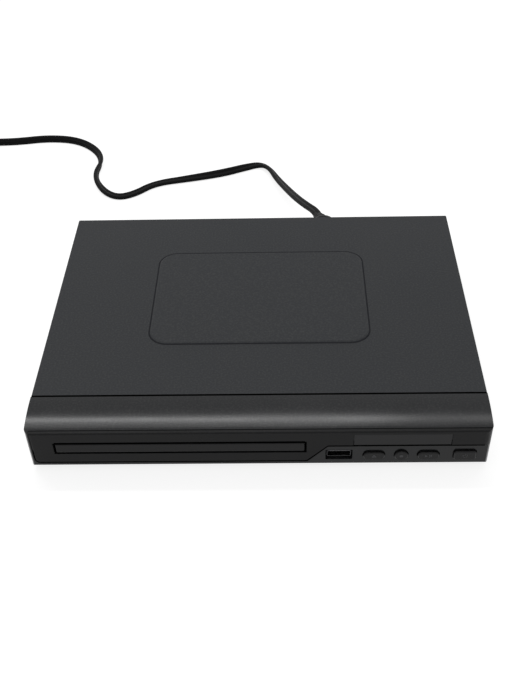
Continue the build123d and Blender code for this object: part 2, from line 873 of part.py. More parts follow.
with BuildPart() as tray:
    block(
        (tray_x - tray_half, tray_x + tray_half),
        (front_y - fascia_thickness, tray_rear_y),
        (tray_z, tray_top),
    )
    # Its front leans with the door.
    with BuildSketch(front_plane(door_thickness)):
        with Locations((tray_x, opening_centre)):
            Rectangle(2 * opening_width, 4 * opening_height)
    extrude(amount=10, mode=Mode.SUBTRACT)
    # Hollow underside, open at the rear.
    block(
        (tray_x - tray_half + tray_skirt, tray_x + tray_half - tray_skirt),
        (front_y + 3.5, tray_rear_y + 1),
        (tray_z - 1, tray_floor_z),
        Mode.SUBTRACT,
    )
    # Wells of the large and the small disc, and the slot of turntable and pickup.
    post(tray_x, disc_y, (well_z, tray_top + 1), disc_radius + disc_clearance, Mode.SUBTRACT)
    post(
        tray_x,
        disc_y,
        (well_z - small_disc_step, well_z + 1),
        small_disc_radius + disc_clearance,
        Mode.SUBTRACT,
    )
    post(tray_x, disc_y, (tray_z - 1, tray_top + 1), slot_half_width, Mode.SUBTRACT)
    block(
        (tray_x - slot_half_width, tray_x + slot_half_width),
        (disc_y, tray_rear_y + 1),
        (tray_z - 1, tray_top + 1),
        Mode.SUBTRACT,
    )
    for side in (-1, 1):
        post(
            tray_x + side * disc_radius * 0.84,
            disc_y - disc_radius * 0.66,
            (well_z, tray_top + 1),
            scoop_radius,
            Mode.SUBTRACT,
        )
    # Rack under the floor, its teeth towards the tray gear.
    with BuildSketch(Plane.XY.offset(tray_z + 0.1)):
        with BuildLine():
            start = gear_y - 1.75 * rack_pitch
            tip = rack_x + 0.95 * rack_module
            root = rack_x - 1.2 * rack_module
            back = root - 1.8
            half = rack_pitch / 4 - gear_backlash / 2
            rise = 0.95 * rack_module * tan(pressure)
            fall = 1.2 * rack_module * tan(pressure)
            points = [(back, start), (root, start)]
            for tooth in range(-1, rack_teeth - 1):
                middle = gear_y + tooth * rack_pitch
                points += [
                    (root, middle - half - fall),
                    (tip, middle - half + rise),
                    (tip, middle + half - rise),
                    (root, middle + half + fall),
                ]
            points += [(root, middle + rack_pitch / 2), (back, middle + rack_pitch / 2)]
            Polyline(*points, close=True)
        make_face()
    extrude(amount=tray_hollow)
save(tray.part, "tray")

gear_level = (tray_z + 0.25, tray_floor_z - 0.25)
low_level = (deck_z + 0.3, tray_z - 0.4)
gear_bore = gear_post_radius + bearing_clearance

with BuildPart() as tray_gear:
    with BuildSketch(Plane.XY.offset(gear_level[0])):
        gear_outline(tray_gear_x, gear_y, pinion_teeth, rack_module, pi + pi / pinion_teeth)
    extrude(amount=gear_level[1] - gear_level[0])
    with BuildSketch(Plane.XY.offset(low_level[0])):
        gear_outline(tray_gear_x, gear_y, big_teeth, drive_module, 0)
    extrude(amount=low_level[1] - low_level[0])
    post(tray_gear_x, gear_y, (low_level[0], gear_level[1]), 3.2)
    post(tray_gear_x, gear_y, (0, top_z), gear_bore, Mode.SUBTRACT)
save(tray_gear.part, "tray_gear")

belt_z = (gear_level[0] + gear_level[1]) / 2
groove_radius = pulley_radius - 0.9
motor_groove = motor_pulley_radius - 0.9


def pulley(x, y, rim, groove):
    """Grooved pulley for the square belt."""
    post(x, y, gear_level, rim)
    with BuildSketch(Plane.XY.offset(belt_z - belt_size / 2 - 0.1)) as channel:
        with Locations((x, y)):
            Circle(rim + 1)
            Circle(groove, mode=Mode.SUBTRACT)
    extrude(channel.sketch, amount=belt_size + 0.2, mode=Mode.SUBTRACT)


with BuildPart() as pulley_gear:
    pulley(pulley_gear_x, gear_y, pulley_radius, groove_radius)
    with BuildSketch(Plane.XY.offset(low_level[0])):
        gear_outline(pulley_gear_x, gear_y, small_teeth, drive_module, pi + pi / small_teeth)
    extrude(amount=low_level[1] - low_level[0])
    post(pulley_gear_x, gear_y, (low_level[0], gear_level[1]), 3.0)
    post(pulley_gear_x, gear_y, (0, top_z), gear_bore, Mode.SUBTRACT)
save(pulley_gear.part, "pulley_gear")

with BuildPart() as motor_pulley:
    pulley(motor_x, gear_y, motor_pulley_radius, motor_groove)
    post(motor_x, gear_y, (gear_level[0] - 5, gear_level[0]), shaft_radius)
save(motor_pulley.part, "motor_pulley")

with BuildPart() as drive_belt:
    for slack, mode in ((belt_size + 0.1, Mode.ADD), (0.1, Mode.SUBTRACT)):
        with BuildSketch(Plane.XY.offset(belt_z - belt_size / 2)):
            with Locations((pulley_gear_x, gear_y)):
                Circle(groove_radius + slack)
            with Locations((motor_x, gear_y)):
                Circle(motor_groove + slack)
            make_hull()
        extrude(amount=belt_size, mode=mode)
save(drive_belt.part, "drive_belt")

loading_motor_z = (base_z + front_flange + 0.4, gear_level[0] - 0.6)
with BuildPart() as loading_motor:
    post(motor_x, gear_y, loading_motor_z, loading_motor_radius)
    chamfer(loading_motor.edges().group_by(Axis.Z)[0], length=0.8)
    post(motor_x, gear_y, (loading_motor_z[0] + 1, top_z), shaft_radius + bearing_clearance, Mode.SUBTRACT)
save(loading_motor.part, "loading_motor")

# ================================================================ traverse and pickup
pivot_y = front_y + pivot_depth
cam_y = front_y + cam_row
spindle_arm = pivot_y - disc_y
tilt = asin(spindle_drop / spindle_arm)
plate_top = tray_z - 0.9
plate_low = plate_top - traverse_plate
pivot_z = plate_low - 2.2
pin_y = (cam_y - cam_thickness / 2 - 0.6, cam_y + cam_thickness / 2 + 1.4)
pin_drop = (pivot_y - cam_y) * sin(tilt)
pin_z = plate_low - 0.4
rod_z = plate_low - 2.4
traverse_front_y = pin_y[1]
table_top = well_z + disc_lift
motor_top = tray_z + 0.5
spindle_motor_z = (motor_top - spindle_motor_height, motor_top)
sled_y = (front_y + sled_front, front_y + sled_front + sled_length)
window_y = (sled_y[0] - 0.6, sled_y[1] + sled_travel + 0.8)
rod_y_range = (window_y[0] - 5.0, window_y[1] + 3.0)
screw_x = tray_x + screw_offset
sled_motor_y = (rod_y_range[1] - sled_motor_length, rod_y_range[1])
lead_y = (window_y[0] - 3.0, sled_motor_y[0])
lug_low = rod_z - 2.6

with BuildPart() as traverse:
    block(
        (tray_x - traverse_half_width, tray_x + traverse_half_width),
        (traverse_front_y, pivot_y + 3),
        (plate_low, plate_top),
    )
    # Front lug that carries the two cam pins.
    block(
        (tray_x - traverse_half_width + 4, tray_x + traverse_half_width - 4),
        (traverse_front_y, traverse_front_y + 2.4),
        (pin_z - cam_pin_radius - 0.6, plate_top),
    )
    for side in (-1, 1):
        rod_y(tray_x + side * cam_pin_offset, (pin_y[0], pin_y[1] + 0.5), pin_z, cam_pin_radius)
        # Blocks that hold the ends of the guide rods.
        for y in (rod_y_range[0], rod_y_range[1] - 4):
            block(
                (tray_x + side * rod_offset - 3, tray_x + side * rod_offset + 3),
                (y, y + 4),
                (lug_low, plate_low + 0.4),
            )
        rod_y(tray_x + side * rod_offset, rod_y_range, rod_z, rod_radius, Mode.SUBTRACT)
        # Rear pivots.
        block(
            tuple(
                sorted(
                    (
                        tray_x + side * traverse_half_width,
                        tray_x + side * (traverse_half_width - 4),
                    )
                )
            ),
            (pivot_y - 3, pivot_y + 3),
            (pivot_z - 2.4, plate_low + 0.4),
        )
        rod_x(
            tuple(
                sorted(
                    (
                        tray_x + side * (traverse_half_width - 2),
                        tray_x + side * (traverse_half_width + 7),
                    )
                )
            ),
            pivot_y,
            pivot_z,
            pivot_radius,
        )
    # Window of the sled and seat of the spindle motor.
    block(
        (tray_x - sled_half_width - 1.2, tray_x + sled_half_width + 1.2),
        window_y,
        (lug_low - 1, plate_top + 1),
        Mode.SUBTRACT,
    )
    post(tray_x, disc_y, (0, top_z), spindle_motor_radius, Mode.SUBTRACT)
    # Bearing of the lead screw and cut-out of the sled motor.
    block(
        (screw_x - 2.6, screw_x + 2.6),
        (lead_y[0], lead_y[0] + 3),
        (lug_low, plate_low + 0.4),
    )
    rod_y(screw_x, lead_y, rod_z, lead_radius + bearing_clearance, Mode.SUBTRACT)
    block(
        (screw_x - sled_motor_radius - 0.2, tray_x + traverse_half_width + 1),
        (sled_motor_y[0] - 0.4, sled_motor_y[1] + 0.4),
        (lug_low - 1, plate_top + 1),
        Mode.SUBTRACT,
    )
    # End wall that carries the sled motor.
    block(
        (tray_x + rod_offset, tray_x + traverse_half_width),
        (sled_motor_y[1], sled_motor_y[1] + 2),
        (lug_low, plate_low + 0.4),
    )
save(traverse.part, "traverse")

with BuildPart() as spindle_motor:
    post(tray_x, disc_y, spindle_motor_z, spindle_motor_radius)
    chamfer(spindle_motor.edges().group_by(Axis.Z)[-1], length=1.0)
    post(
        tray_x,
        disc_y,
        (spindle_motor_z[0] + 1, top_z),
        shaft_radius + bearing_clearance,
        Mode.SUBTRACT,
    )
save(spindle_motor.part, "spindle_motor")

with BuildPart() as turntable:
    post(tray_x, disc_y, (table_top - turntable_flange, table_top), turntable_radius)
    post(tray_x, disc_y, (motor_top + 0.3, table_top), 4.0)
    post(tray_x, disc_y, (motor_top - 4, table_top), shaft_radius)
    with BuildSketch(Plane.XY.offset(table_top)):
        with Locations((tray_x, disc_y)):
            Circle(cone_radius)
    extrude(amount=cone_height, taper=22)
    # Ring groove of the rubber facing.
    with BuildSketch(Plane.XY.offset(table_top)):
        with Locations((tray_x, disc_y)):
            Circle(turntable_radius - 3.2)
            Circle(turntable_radius - 4.2, mode=Mode.SUBTRACT)
    extrude(amount=-0.4, mode=Mode.SUBTRACT)
save(turntable.part, "turntable")

bridge_z = (tray_top + bridge_rise, tray_top + bridge_rise + bridge_steel)
frame_top = tray_top + 1.6
clamper_low = table_top + 1.35
with BuildPart() as clamp_bridge:
    block(
        (tray_x - frame_half, tray_x + frame_half),
        (disc_y - bridge_width / 2, disc_y + bridge_width / 2),
        bridge_z,
    )
    for side in (-1, 1):
        block(
            tuple(
                sorted(
                    (tray_x + side * frame_half, tray_x + side * (frame_half - bridge_steel))
                )
            ),
            (disc_y - bridge_width / 2, disc_y + bridge_width / 2),
            (frame_top, bridge_z[1]),
        )
        block(
            tuple(
                sorted(
                    (tray_x + side * frame_half, tray_x + side * (frame_half - frame_wall))
                )
            ),
            (disc_y - bridge_width / 2, disc_y + bridge_width / 2),
            (frame_top, frame_top + bridge_steel),
        )
    post(tray_x, disc_y, (tray_top, top_z), clamper_neck + 1.2, Mode.SUBTRACT)
save(clamp_bridge.part, "clamp_bridge")

with BuildPart() as clamper:
    post(tray_x, disc_y, (clamper_low, clamper_low + 1.6), clamper_radius)
    post(tray_x, disc_y, (clamper_low, bridge_z[1] + 1.5), clamper_neck)
    post(tray_x, disc_y, (bridge_z[1] + 0.3, bridge_z[1] + 1.5), clamper_radius - 1)
    post(
        tray_x,
        disc_y,
        (clamper_low - 1, table_top + cone_height + 0.8),
        cone_radius + 0.6,
        Mode.SUBTRACT,
    )
save(clamper.part, "clamper")

with BuildPart() as guide_rods:
    for side in (-1, 1):
        rod_y(tray_x + side * rod_offset, rod_y_range, rod_z, rod_radius)
save(guide_rods.part, "guide_rods")

with BuildPart() as sled_motor:
    rod_y(screw_x, sled_motor_y, rod_z, sled_motor_radius)
    rod_y(
        screw_x,
        (sled_motor_y[0] - 1, sled_motor_y[0] + sled_shaft_depth + 1),
        rod_z,
        shaft_radius + bearing_clearance,
        Mode.SUBTRACT,
    )
save(sled_motor.part, "sled_motor")

with BuildPart() as lead_screw:
    rod_y(screw_x, (lead_y[0], lead_y[1] - 0.5), rod_z, lead_radius)
    rod_y(screw_x, (lead_y[1] - 1, sled_motor_y[0] + sled_shaft_depth), rod_z, shaft_radius)
    # Thread, as a row of grooves.
    with BuildSketch(Plane.XZ.offset(-lead_y[0] - thread_start)) as groove:
        with Locations((screw_x, rod_z)):
            Circle(lead_radius + 1)
            Circle(lead_radius - thread_depth, mode=Mode.SUBTRACT)
    for index in range(thread_turns):
        extrude(
            Pos(0, index * thread_pitch, 0) * groove.sketch,
            amount=-thread_groove,
            mode=Mode.SUBTRACT,
        )
save(lead_screw.part, "lead_screw")

sled_top = tray_z - 0.1
sled_low = rod_z - 2.2
lens_y = front_y + lens_start
holder_low = sled_top - 2.4
holder_half = (7.0, 6.0)
with BuildPart() as pickup_sled:
    block(
        (tray_x - sled_half_width, tray_x + sled_half_width),
        sled_y,
        (sled_low, sled_top),
    )
    block(
        (tray_x - rod_offset - 3, tray_x + rod_offset + 3),
        (sled_y[0] + 4, sled_motor_y[0] - sled_travel - 0.8),
        (sled_low, plate_low - 0.4),
    )
    for side in (-1, 1):
        rod_y(
            tray_x + side * rod_offset,
            (sled_y[0] - 1, sled_y[1] + 1),
            rod_z,
            rod_radius + bearing_clearance,
            Mode.SUBTRACT,
        )
    # Finger that follows the thread of the lead screw.
    block(
        (tray_x + rod_offset + 2, screw_x - lead_radius - 0.1),
        (sled_y[0] + 6, sled_y[0] + 12),
        (sled_low, plate_low - 0.4),
    )
    # Pocket of the lens holder.
    block(
        (tray_x - holder_half[0] - 1.5, tray_x + holder_half[0] + 1.5),
        (lens_y - holder_half[1] - 1.5, lens_y + holder_half[1] + 1.5),
        (holder_low - 1.0, sled_top + 1),
        Mode.SUBTRACT,
    )
save(pickup_sled.part, "pickup_sled")

with BuildPart() as lens_holder:
    block(
        (tray_x - holder_half[0], tray_x + holder_half[0]),
        (lens_y - holder_half[1], lens_y + holder_half[1]),
        (holder_low, sled_top + 0.9),
    )
    post(tray_x, lens_y, (holder_low - 1, sled_top + 2), lens_radius, Mode.SUBTRACT)
save(lens_holder.part, "lens_holder")

with BuildPart() as objective_lens:
    post(tray_x, lens_y, (sled_top - 0.6, sled_top + 0.9), lens_radius)
    with BuildSketch(Plane.XZ.offset(-lens_y)):
        with BuildLine():
            dome_z = sled_top + 0.9
            Line((tray_x, dome_z), (tray_x + lens_radius, dome_z))
            ThreePointArc(
                (tray_x + lens_radius, dome_z),
                (tray_x + lens_radius * 0.6, dome_z + 0.45),
                (tray_x, dome_z + 0.7),
            )
            Line((tray_x, dome_z + 0.7), (tray_x, dome_z))
        make_face()
    revolve(axis=Axis((tray_x, lens_y, 0), (0, 0, 1)))
save(objective_lens.part, "objective_lens")

cam_low = pin_z - pin_drop - cam_pin_radius - 1.4
cam_high = pin_z + cam_pin_radius + 1.1
with BuildPart() as cam_slider:
    block(
        (tray_x - cam_pin_offset - cam_travel - 5, tray_x + cam_pin_offset + 7),
        (cam_y - cam_thickness / 2, cam_y + cam_thickness / 2),
        (cam_low, cam_high),
    )
    slot_length = sqrt(cam_travel**2 + pin_drop**2)
    slot_angle = degrees(atan2(pin_drop, cam_travel))
    for side in (-1, 1):
        with BuildSketch(Plane.XZ.offset(-cam_y)):
            with Locations(
                Location(
                    (
                        tray_x + side * cam_pin_offset - cam_travel / 2,
                        pin_z - pin_drop / 2,
                        0,
                    ),
                    (0, 0, slot_angle),
                )
            ):
                SlotCenterToCenter(slot_length, 2 * cam_pin_radius + 0.5)
        extrude(amount=cam_thickness, both=True, mode=Mode.SUBTRACT)
save(cam_slider.part, "cam_slider")

frame_inner = tray_half + frame_clearance
pivot_block = (traverse_half_width + 1.6, traverse_half_width + 6.4)
with BuildPart() as loader_frame:
    # Side walls that guide the tray.
    for side in (-1, 1):
        block(
            tuple(sorted((tray_x + side * frame_inner, tray_x + side * frame_half))),
            (front_y + frame_front, front_y + frame_rear),
            (deck_z - deck_thickness, frame_top),
        )
        block(
            tuple(
                sorted((tray_x + side * (frame_inner - ledge_width), tray_x + side * frame_inner))
            ),
            (front_y + frame_front, front_y + frame_rear),
            (deck_z - deck_thickness, tray_z - 0.15),
        )
        for y in (frame_front + 4, frame_rear * 0.45, frame_rear - 14):
            block(
                tuple(
                    sorted((tray_x + side * (frame_inner - 2.2), tray_x + side * frame_inner))
                ),
                (front_y + y, front_y + y + 9),
                (tray_top + 0.3, frame_top),
            )
    # Deck with the traverse's window.
    block(
        (tray_x - frame_inner, tray_x + frame_inner),
        (front_y + frame_front, front_y + frame_rear),
        (deck_z - deck_thickness, deck_z),
    )
    block(
        (tray_x - traverse_half_width - 1.2, tray_x + traverse_half_width + 1.2),
        (cam_y + cam_thickness / 2 + 0.4, pivot_y + 4.5),
        (deck_z - 3 * deck_thickness, tray_top),
        Mode.SUBTRACT,
    )
    # Guide slot of the cam slider.
    block(
        (
            tray_x - cam_pin_offset - cam_travel - 6,
            tray_x + cam_pin_offset + cam_travel + 8,
        ),
        (cam_y - cam_thickness / 2 - 0.4, cam_y + cam_thickness / 2 + 0.5),
        (deck_z - 3 * deck_thickness, tray_top),
        Mode.SUBTRACT,
    )
    block(
        (tray_x - cam_pin_offset - 4, tray_x + cam_pin_offset + 4),
        (cam_y - cam_thickness / 2 - 1.2, cam_y),
        (deck_z - 3 * deck_thickness, tray_top),
        Mode.SUBTRACT,
    )
    # Legs on the bosses of the base.
    for x, y in leg_posts:
        block(
            (x - leg_size / 2, x + leg_size / 2),
            (y - leg_size / 2, y + leg_size / 2),
            (floor_z + leg_boss_height, deck_z),
        )
        post(x, y, (floor_z, deck_z + 1), screw_radius + screw_clearance, Mode.SUBTRACT)
        post(x, y, (deck_z, frame_top + 1), screw_head_radius + 0.3, Mode.SUBTRACT)
    # Bearing blocks of the traverse.
    for side in (-1, 1):
        block(
            tuple(sorted((tray_x + side * pivot_block[0], tray_x + side * pivot_block[1]))),
            (pivot_y - 5, pivot_y + 6),
            (pivot_z - grommet_radius - 1.2, deck_z),
        )
        rod_x(
            tuple(
                sorted((tray_x + side * (pivot_block[0] - 1), tray_x + side * (pivot_block[1] + 2)))
            ),
            pivot_y,
            pivot_z,
            grommet_radius,
            Mode.SUBTRACT,
        )
    # Posts of the gears and seat of the loading motor.
    post(motor_x, gear_y, (0, tray_z), loading_motor_radius, Mode.SUBTRACT)
    for x in (tray_gear_x, pulley_gear_x):
        post(x, gear_y, (deck_z - 0.2, gear_level[1]), gear_post_radius)
save(loader_frame.part, "loader_frame")

with BuildPart() as damper_grommets:
    for side in (-1, 1):
        ends = tuple(sorted((tray_x + side * pivot_block[0], tray_x + side * pivot_block[1])))
        rod_x(ends, pivot_y, pivot_z, grommet_radius)
        rod_x(
            (ends[0] - 1, ends[1] + 1),
            pivot_y,
            pivot_z,
            pivot_radius + bearing_clearance,
            Mode.SUBTRACT,
        )
save(damper_grommets.part, "damper_grommets")

# ================================================================ boards and rear
with BuildPart() as main_board:
    block(main_board_x, main_board_y, (board_z - board_thickness, board_z))
    for x, y in board_posts[:4]:
        post(x, y, (0, top_z), screw_radius + screw_clearance, Mode.SUBTRACT)
save(main_board.part, "main_board")

with BuildPart() as board_chips:
    chips = [
        (0.52, 0.40, 20.0, 20.0, 1.6),
        (0.20, 0.62, 10.0, 20.0, 1.2),
        (0.78, 0.30, 9.0, 7.0, 1.6),
        (0.48, 0.15, 15.0, 8.0, 2.0),
    ]
    for across, along, width, depth, height in chips:
        x = main_board_x[0] + across * main_board_width
        y = main_board_y[0] + along * main_board_depth
        block(
            (x - width / 2, x + width / 2),
            (y - depth / 2, y + depth / 2),
            (board_z, board_z + height),
        )
save(board_chips.part, "board_chips")

with BuildPart() as power_board:
    block(power_board_x, power_board_y, (board_z - board_thickness, board_z))
    for x, y in board_posts[4:]:
        post(x, y, (0, top_z), screw_radius + screw_clearance, Mode.SUBTRACT)
save(power_board.part, "power_board")

transformer_x = power_board_x[0] + power_board_width * 0.55
transformer_y = power_board_y[0] + power_board_depth * 0.52
with BuildPart() as transformer:
    for width, depth, low, high in (
        (transformer_width, transformer_depth, 0.0, bobbin_base),
        (winding_width, transformer_depth, bobbin_base, bobbin_base + winding_height),
        (transformer_width, core_depth, bobbin_base, transformer_height),
    ):
        block(
            (transformer_x - width / 2, transformer_x + width / 2),
            (transformer_y - depth / 2, transformer_y + depth / 2),
            (board_z + low, board_z + high),
        )
save(transformer.part, "transformer")

with BuildPart() as capacitors:
    for across, along, (radius, height) in (
        (0.24, 0.55, big_can),
        (0.82, 0.70, middle_can),
        (0.82, 0.48, middle_can),
        (0.82, 0.28, small_can),
    ):
        x = power_board_x[0] + across * power_board_width
        y = power_board_y[0] + along * power_board_depth
        post(x, y, (board_z, board_z + height), radius)
    fillet(capacitors.edges().filter_by(GeomType.CIRCLE).group_by(Axis.Z)[-1], radius=can_round)
save(capacitors.part, "capacitors")

with BuildPart() as mains_fuse:
    fuse_x = power_board_x[0] + power_board_width * 0.2
    fuse_y = power_board_y[1] - fuse_inset
    fuse_ends = (fuse_x - fuse_length / 2, fuse_x + fuse_length / 2)
    rod_x(fuse_ends, fuse_y, board_z + fuse_rise, fuse_radius)
    for side in (-1, 1):
        clip_x = fuse_x + side * fuse_clip_pitch / 2
        block(
            (clip_x - fuse_clip_length / 2, clip_x + fuse_clip_length / 2),
            (fuse_y - fuse_clip_width / 2, fuse_y + fuse_clip_width / 2),
            (board_z, board_z + fuse_rise),
        )
save(mains_fuse.part, "mains_fuse")

jack_block_x = (jack_x[-1] - jack_pitch / 2, jack_x[0] + jack_pitch / 2)
panel_inside = panel_y - chassis_steel
with BuildPart() as av_jack_block:
    block(
        jack_block_x,
        (panel_inside - jack_block_depth, panel_inside),
        (board_z, jack_z + jack_block_rise),
    )
    for x in jack_x:
        core = (panel_inside - 1, rear_y + jack_reach - jack_core_inset)
        rod_y(x, core, jack_z, jack_radius - jack_wall)
        rod_y(x, (panel_inside - 2, rear_y + jack_reach + 1), jack_z, jack_bore, Mode.SUBTRACT)
save(av_jack_block.part, "av_jack_block")

with BuildPart() as jack_barrels:
    for x in jack_x:
        rod_y(x, (panel_inside, panel_y + collar_thickness), jack_z, jack_root_radius)
        rod_y(x, (panel_y, rear_y + jack_reach), jack_z, jack_radius)
        rod_y(
            x,
            (panel_inside - 1, rear_y + jack_reach + 1),
            jack_z,
            jack_radius - jack_wall,
            Mode.SUBTRACT,
        )
save(jack_barrels.part, "jack_barrels")

for name, x in zip(("red", "white", "yellow"), jack_x):
    with BuildPart() as jack_collar:
        rod_y(x, (panel_y, panel_y + collar_thickness), jack_z, collar_radius)
        rod_y(x, (panel_y - 1, rear_y + jack_reach), jack_z, jack_root_radius, Mode.SUBTRACT)
    save(jack_collar.part, f"jack_collar_{name}")

# Strain relief: neck in the panel, oval head and tapered boot that leans with the cord.
boot_end_x = gland_x - boot_lean
boot_end_y = panel_y + gland_head + gland_boot
boot_end_z = gland_z - boot_sag
boot_way = (-2.0, 8.0, 23.5 - boot_end_z)
with BuildPart() as strain_relief:
    rod_y(gland_x, (panel_inside - 5, panel_y), gland_z, gland_neck)
    head_plane = Plane(origin=(gland_x, panel_y, gland_z), x_dir=(1, 0, 0), z_dir=(0, 1, 0))
    with BuildSketch(head_plane):
        Ellipse(gland_radius + gland_extra_width, gland_radius)
    extrude(amount=gland_head)
    fillet(strain_relief.edges().sort_by(Axis.Y)[-1], radius=1.6)
    with BuildSketch(head_plane.offset(gland_head - 0.5)):
        Ellipse(gland_radius * 0.72, gland_radius * 0.62)
    boot_plane = Plane(
        origin=(boot_end_x, boot_end_y, boot_end_z), x_dir=(1, 0.25, 0), z_dir=boot_way
    )
    with BuildSketch(boot_plane):
        Ellipse(cord_diameter * 0.78, cord_diameter * 0.66)
    loft()
save(strain_relief.part, "strain_relief")

with BuildPart() as inlet_leads:
    for side in (-1, 1):
        lead_x = gland_x + side * lead_spacing / 2
        with BuildLine() as lead:
            FilletPolyline(
                (lead_x, panel_inside - 5, gland_z),
                (lead_x, panel_inside - 20, gland_z),
                (lead_x + lead_shift, power_board_y[1] + 12, board_z + lead_rise),
                (lead_x + lead_shift, power_board_y[1] - 6, board_z + lead_rise),
                (lead_x + lead_shift, power_board_y[1] - 6, board_z),
                radius=lead_bend,
            )
        with BuildSketch(Plane(origin=lead.line @ 0, z_dir=lead.line % 0)):
            Circle(lead_radius_mains)
        sweep()
save(inlet_leads.part, "inlet_leads")

flex_y = main_board_y[0] + flex_inset
flex_low_z = floor_z + 0.4
with BuildPart() as flex_cable:
    with BuildSketch(Plane.XZ.offset(-flex_y)):
        with BuildLine() as flex_line:
            FilletPolyline(
                (main_board_x[0] + 1.5 * flex_socket_width, board_z + flex_rise),
                (main_board_x[0] - flex_reach, board_z + flex_rise),
                (main_board_x[0] - flex_reach, flex_low_z),
                (tray_x + 5, flex_low_z),
                radius=2,
            )
            offset(amount=flex_thickness, side=Side.LEFT)
        make_face()
    extrude(amount=flex_width)
    block(
        (main_board_x[0] + flex_socket_width, main_board_x[0] + 2 * flex_socket_width),
        (flex_y - flex_width, flex_y),
        (board_z, board_z + flex_socket_height),
    )
save(flex_cable.part, "flex_cable")

# ================================================================ cord and plug
# Route of the free stretch: offsets from the boot's end across and to the rear, and heights above
# the resting surface. The cord comes down from the rear panel and lies on the surface from the
# eighth point on.
rest_z = cord_diameter / 2
coil_start_x = -304.0
coil_start_y = 148.0
offsets = [
    (0.0, 0.0, boot_end_z),
    (-2.0, 8.0, 23.5),
    (-7.2, 19.0, 20.5),
    (-14.5, 37.0, 16.0),
    (-21.0, 58.0, 10.5),
    (-28.5, 80.5, 6.0),
    (-34.5, 101.0, 3.2),
    (-42.5, 111.0, rest_z),
    (-54.5, 105.5, rest_z),
    (-72.0, 96.5, rest_z),
    (-98.0, 90.0, rest_z),
    (-124.5, 84.0, rest_z),
    (-138.5, 69.0, rest_z),
    (-151.5, 64.0, rest_z),
    (-165.0, 74.0, rest_z),
    (-174.0, 94.5, rest_z),
    (-170.5, 117.5, rest_z),
    (-177.0, 136.5, rest_z),
    (-195.0, 152.5, rest_z),
    (-220.0, 156.5, rest_z),
    (-245.0, 151.5, rest_z),
    (-269.0, 151.0, rest_z),
    (-288.0, coil_start_y, rest_z),
    (coil_start_x + cord_diameter, coil_start_y, rest_z),
]
route = [(boot_end_x + x, boot_end_y + y, z) for x, y, z in offsets]


def turn_radii(points):
    """Largest arc at each inner point: 0.45 of the shorter run over the tangent of half the turn."""
    radii = []
    for before, here, after in zip(points, points[1:], points[2:]):
        run_in = Vector(here) - Vector(before)
        run_out = Vector(after) - Vector(here)
        half_turn = radians(run_in.get_angle(run_out)) / 2
        radii.append(0.45 * min(run_in.length, run_out.length) / tan(half_turn))
    return radii


def tube(path):
    """Round tube along a path."""
    with BuildSketch(Plane(origin=path @ 0, z_dir=path % 0)) as end:
        Circle(cord_diameter / 2)
    sweep(end.sketch, path=path)


with BuildPart() as mains_cord:
    free_radii = turn_radii(route)
    with BuildLine() as free_line:
        FilletPolyline(*route, radius=free_radii)
    free_path = free_line.wire()
    tube(free_path)
save(mains_cord.part, "mains_cord")
print("cord radii", [round(radius, 1) for radius in free_radii])
print("cord length", round(free_path.length, 1))
section = pi * cord_diameter**2 / 4
print("volume against section by length", mains_cord.part.volume / free_path.length / section)

# Coil: the lower layer spirals in, the upper one spirals out above it.
start_radius = coil_inner_radius + coil_pitch * coil_turns_in
coil_x = boot_end_x + coil_start_x
coil_y = boot_end_y + coil_start_y - start_radius
reverse = 2 * pi * coil_turns_in


def coil_place(angle):
    """Point and direction of the coil's line, where angle counts from its start."""
    past = angle - reverse
    radius = coil_inner_radius + coil_pitch * abs(past) / (2 * pi)
    rate = 0.0 if abs(past) < 1e-6 else coil_pitch / (2 * pi) * (1 if past > 0 else -1)
    if past <= -pi / 2:
        height, climb = 0.0, 0.0
    elif past >= pi / 2:
        height, climb = coil_layer, 0.0
    else:
        height = coil_layer * (1 + sin(past)) / 2
        climb = coil_layer * cos(past) / 2
    spin = pi / 2 + angle
    point = Vector(coil_x + radius * cos(spin), coil_y + radius * sin(spin), rest_z + height)
    along = Vector(
        rate * cos(spin) - radius * sin(spin), rate * sin(spin) + radius * cos(spin), climb
    )
    return point, along.normalized()


def biarc(start, start_way, end, end_way):
    """Two arcs that leave start and reach end in the given directions."""
    gap = end - start
    both = start_way + end_way
    spare = 2 * (1 - start_way.dot(end_way))
    reach = (-gap.dot(both) + sqrt(gap.dot(both) ** 2 + spare * gap.dot(gap))) / spare
    middle = (start + end + (start_way - end_way) * reach) * 0.5
    first = TangentArc(start, middle, tangent=start_way)
    TangentArc(middle, end, tangent=first % 1)


quarters = int(round(4 * (coil_turns_in + coil_turns_out)))
places = [coil_place(index * pi / 2) for index in range(quarters + 1)]
places[0] = (places[0][0], Vector(-1, 0, 0))
places[-1] = (places[-1][0], Vector(0, -1, 0))
plug_start = places[-1][0] - Vector(0, coil_tail, 0)
with BuildPart() as mains_cord_coil:
    with BuildLine() as winding:
        Line(places[0][0] + Vector(cord_diameter, 0, 0), places[0][0])
        for (start, start_way), (end, end_way) in zip(places, places[1:]):
            biarc(start, start_way, end, end_way)
        Line(places[-1][0], plug_start)
    coil_path = winding.wire()
    tube(coil_path)
save(mains_cord_coil.part, "mains_cord_coil")
samples = 40 * quarters
coil_points = [coil_path @ (index / samples) for index in range(samples + 1)]
apart = samples // quarters * 2
least = min(
    (here - there).length
    for index, here in enumerate(coil_points)
    for there in coil_points[index + apart :]
)
print("coil length", round(coil_path.length, 1), "least gap", round(least - cord_diameter, 2))
ratio = mains_cord_coil.part.volume / coil_path.length / section
print("coil volume against section by length", ratio)

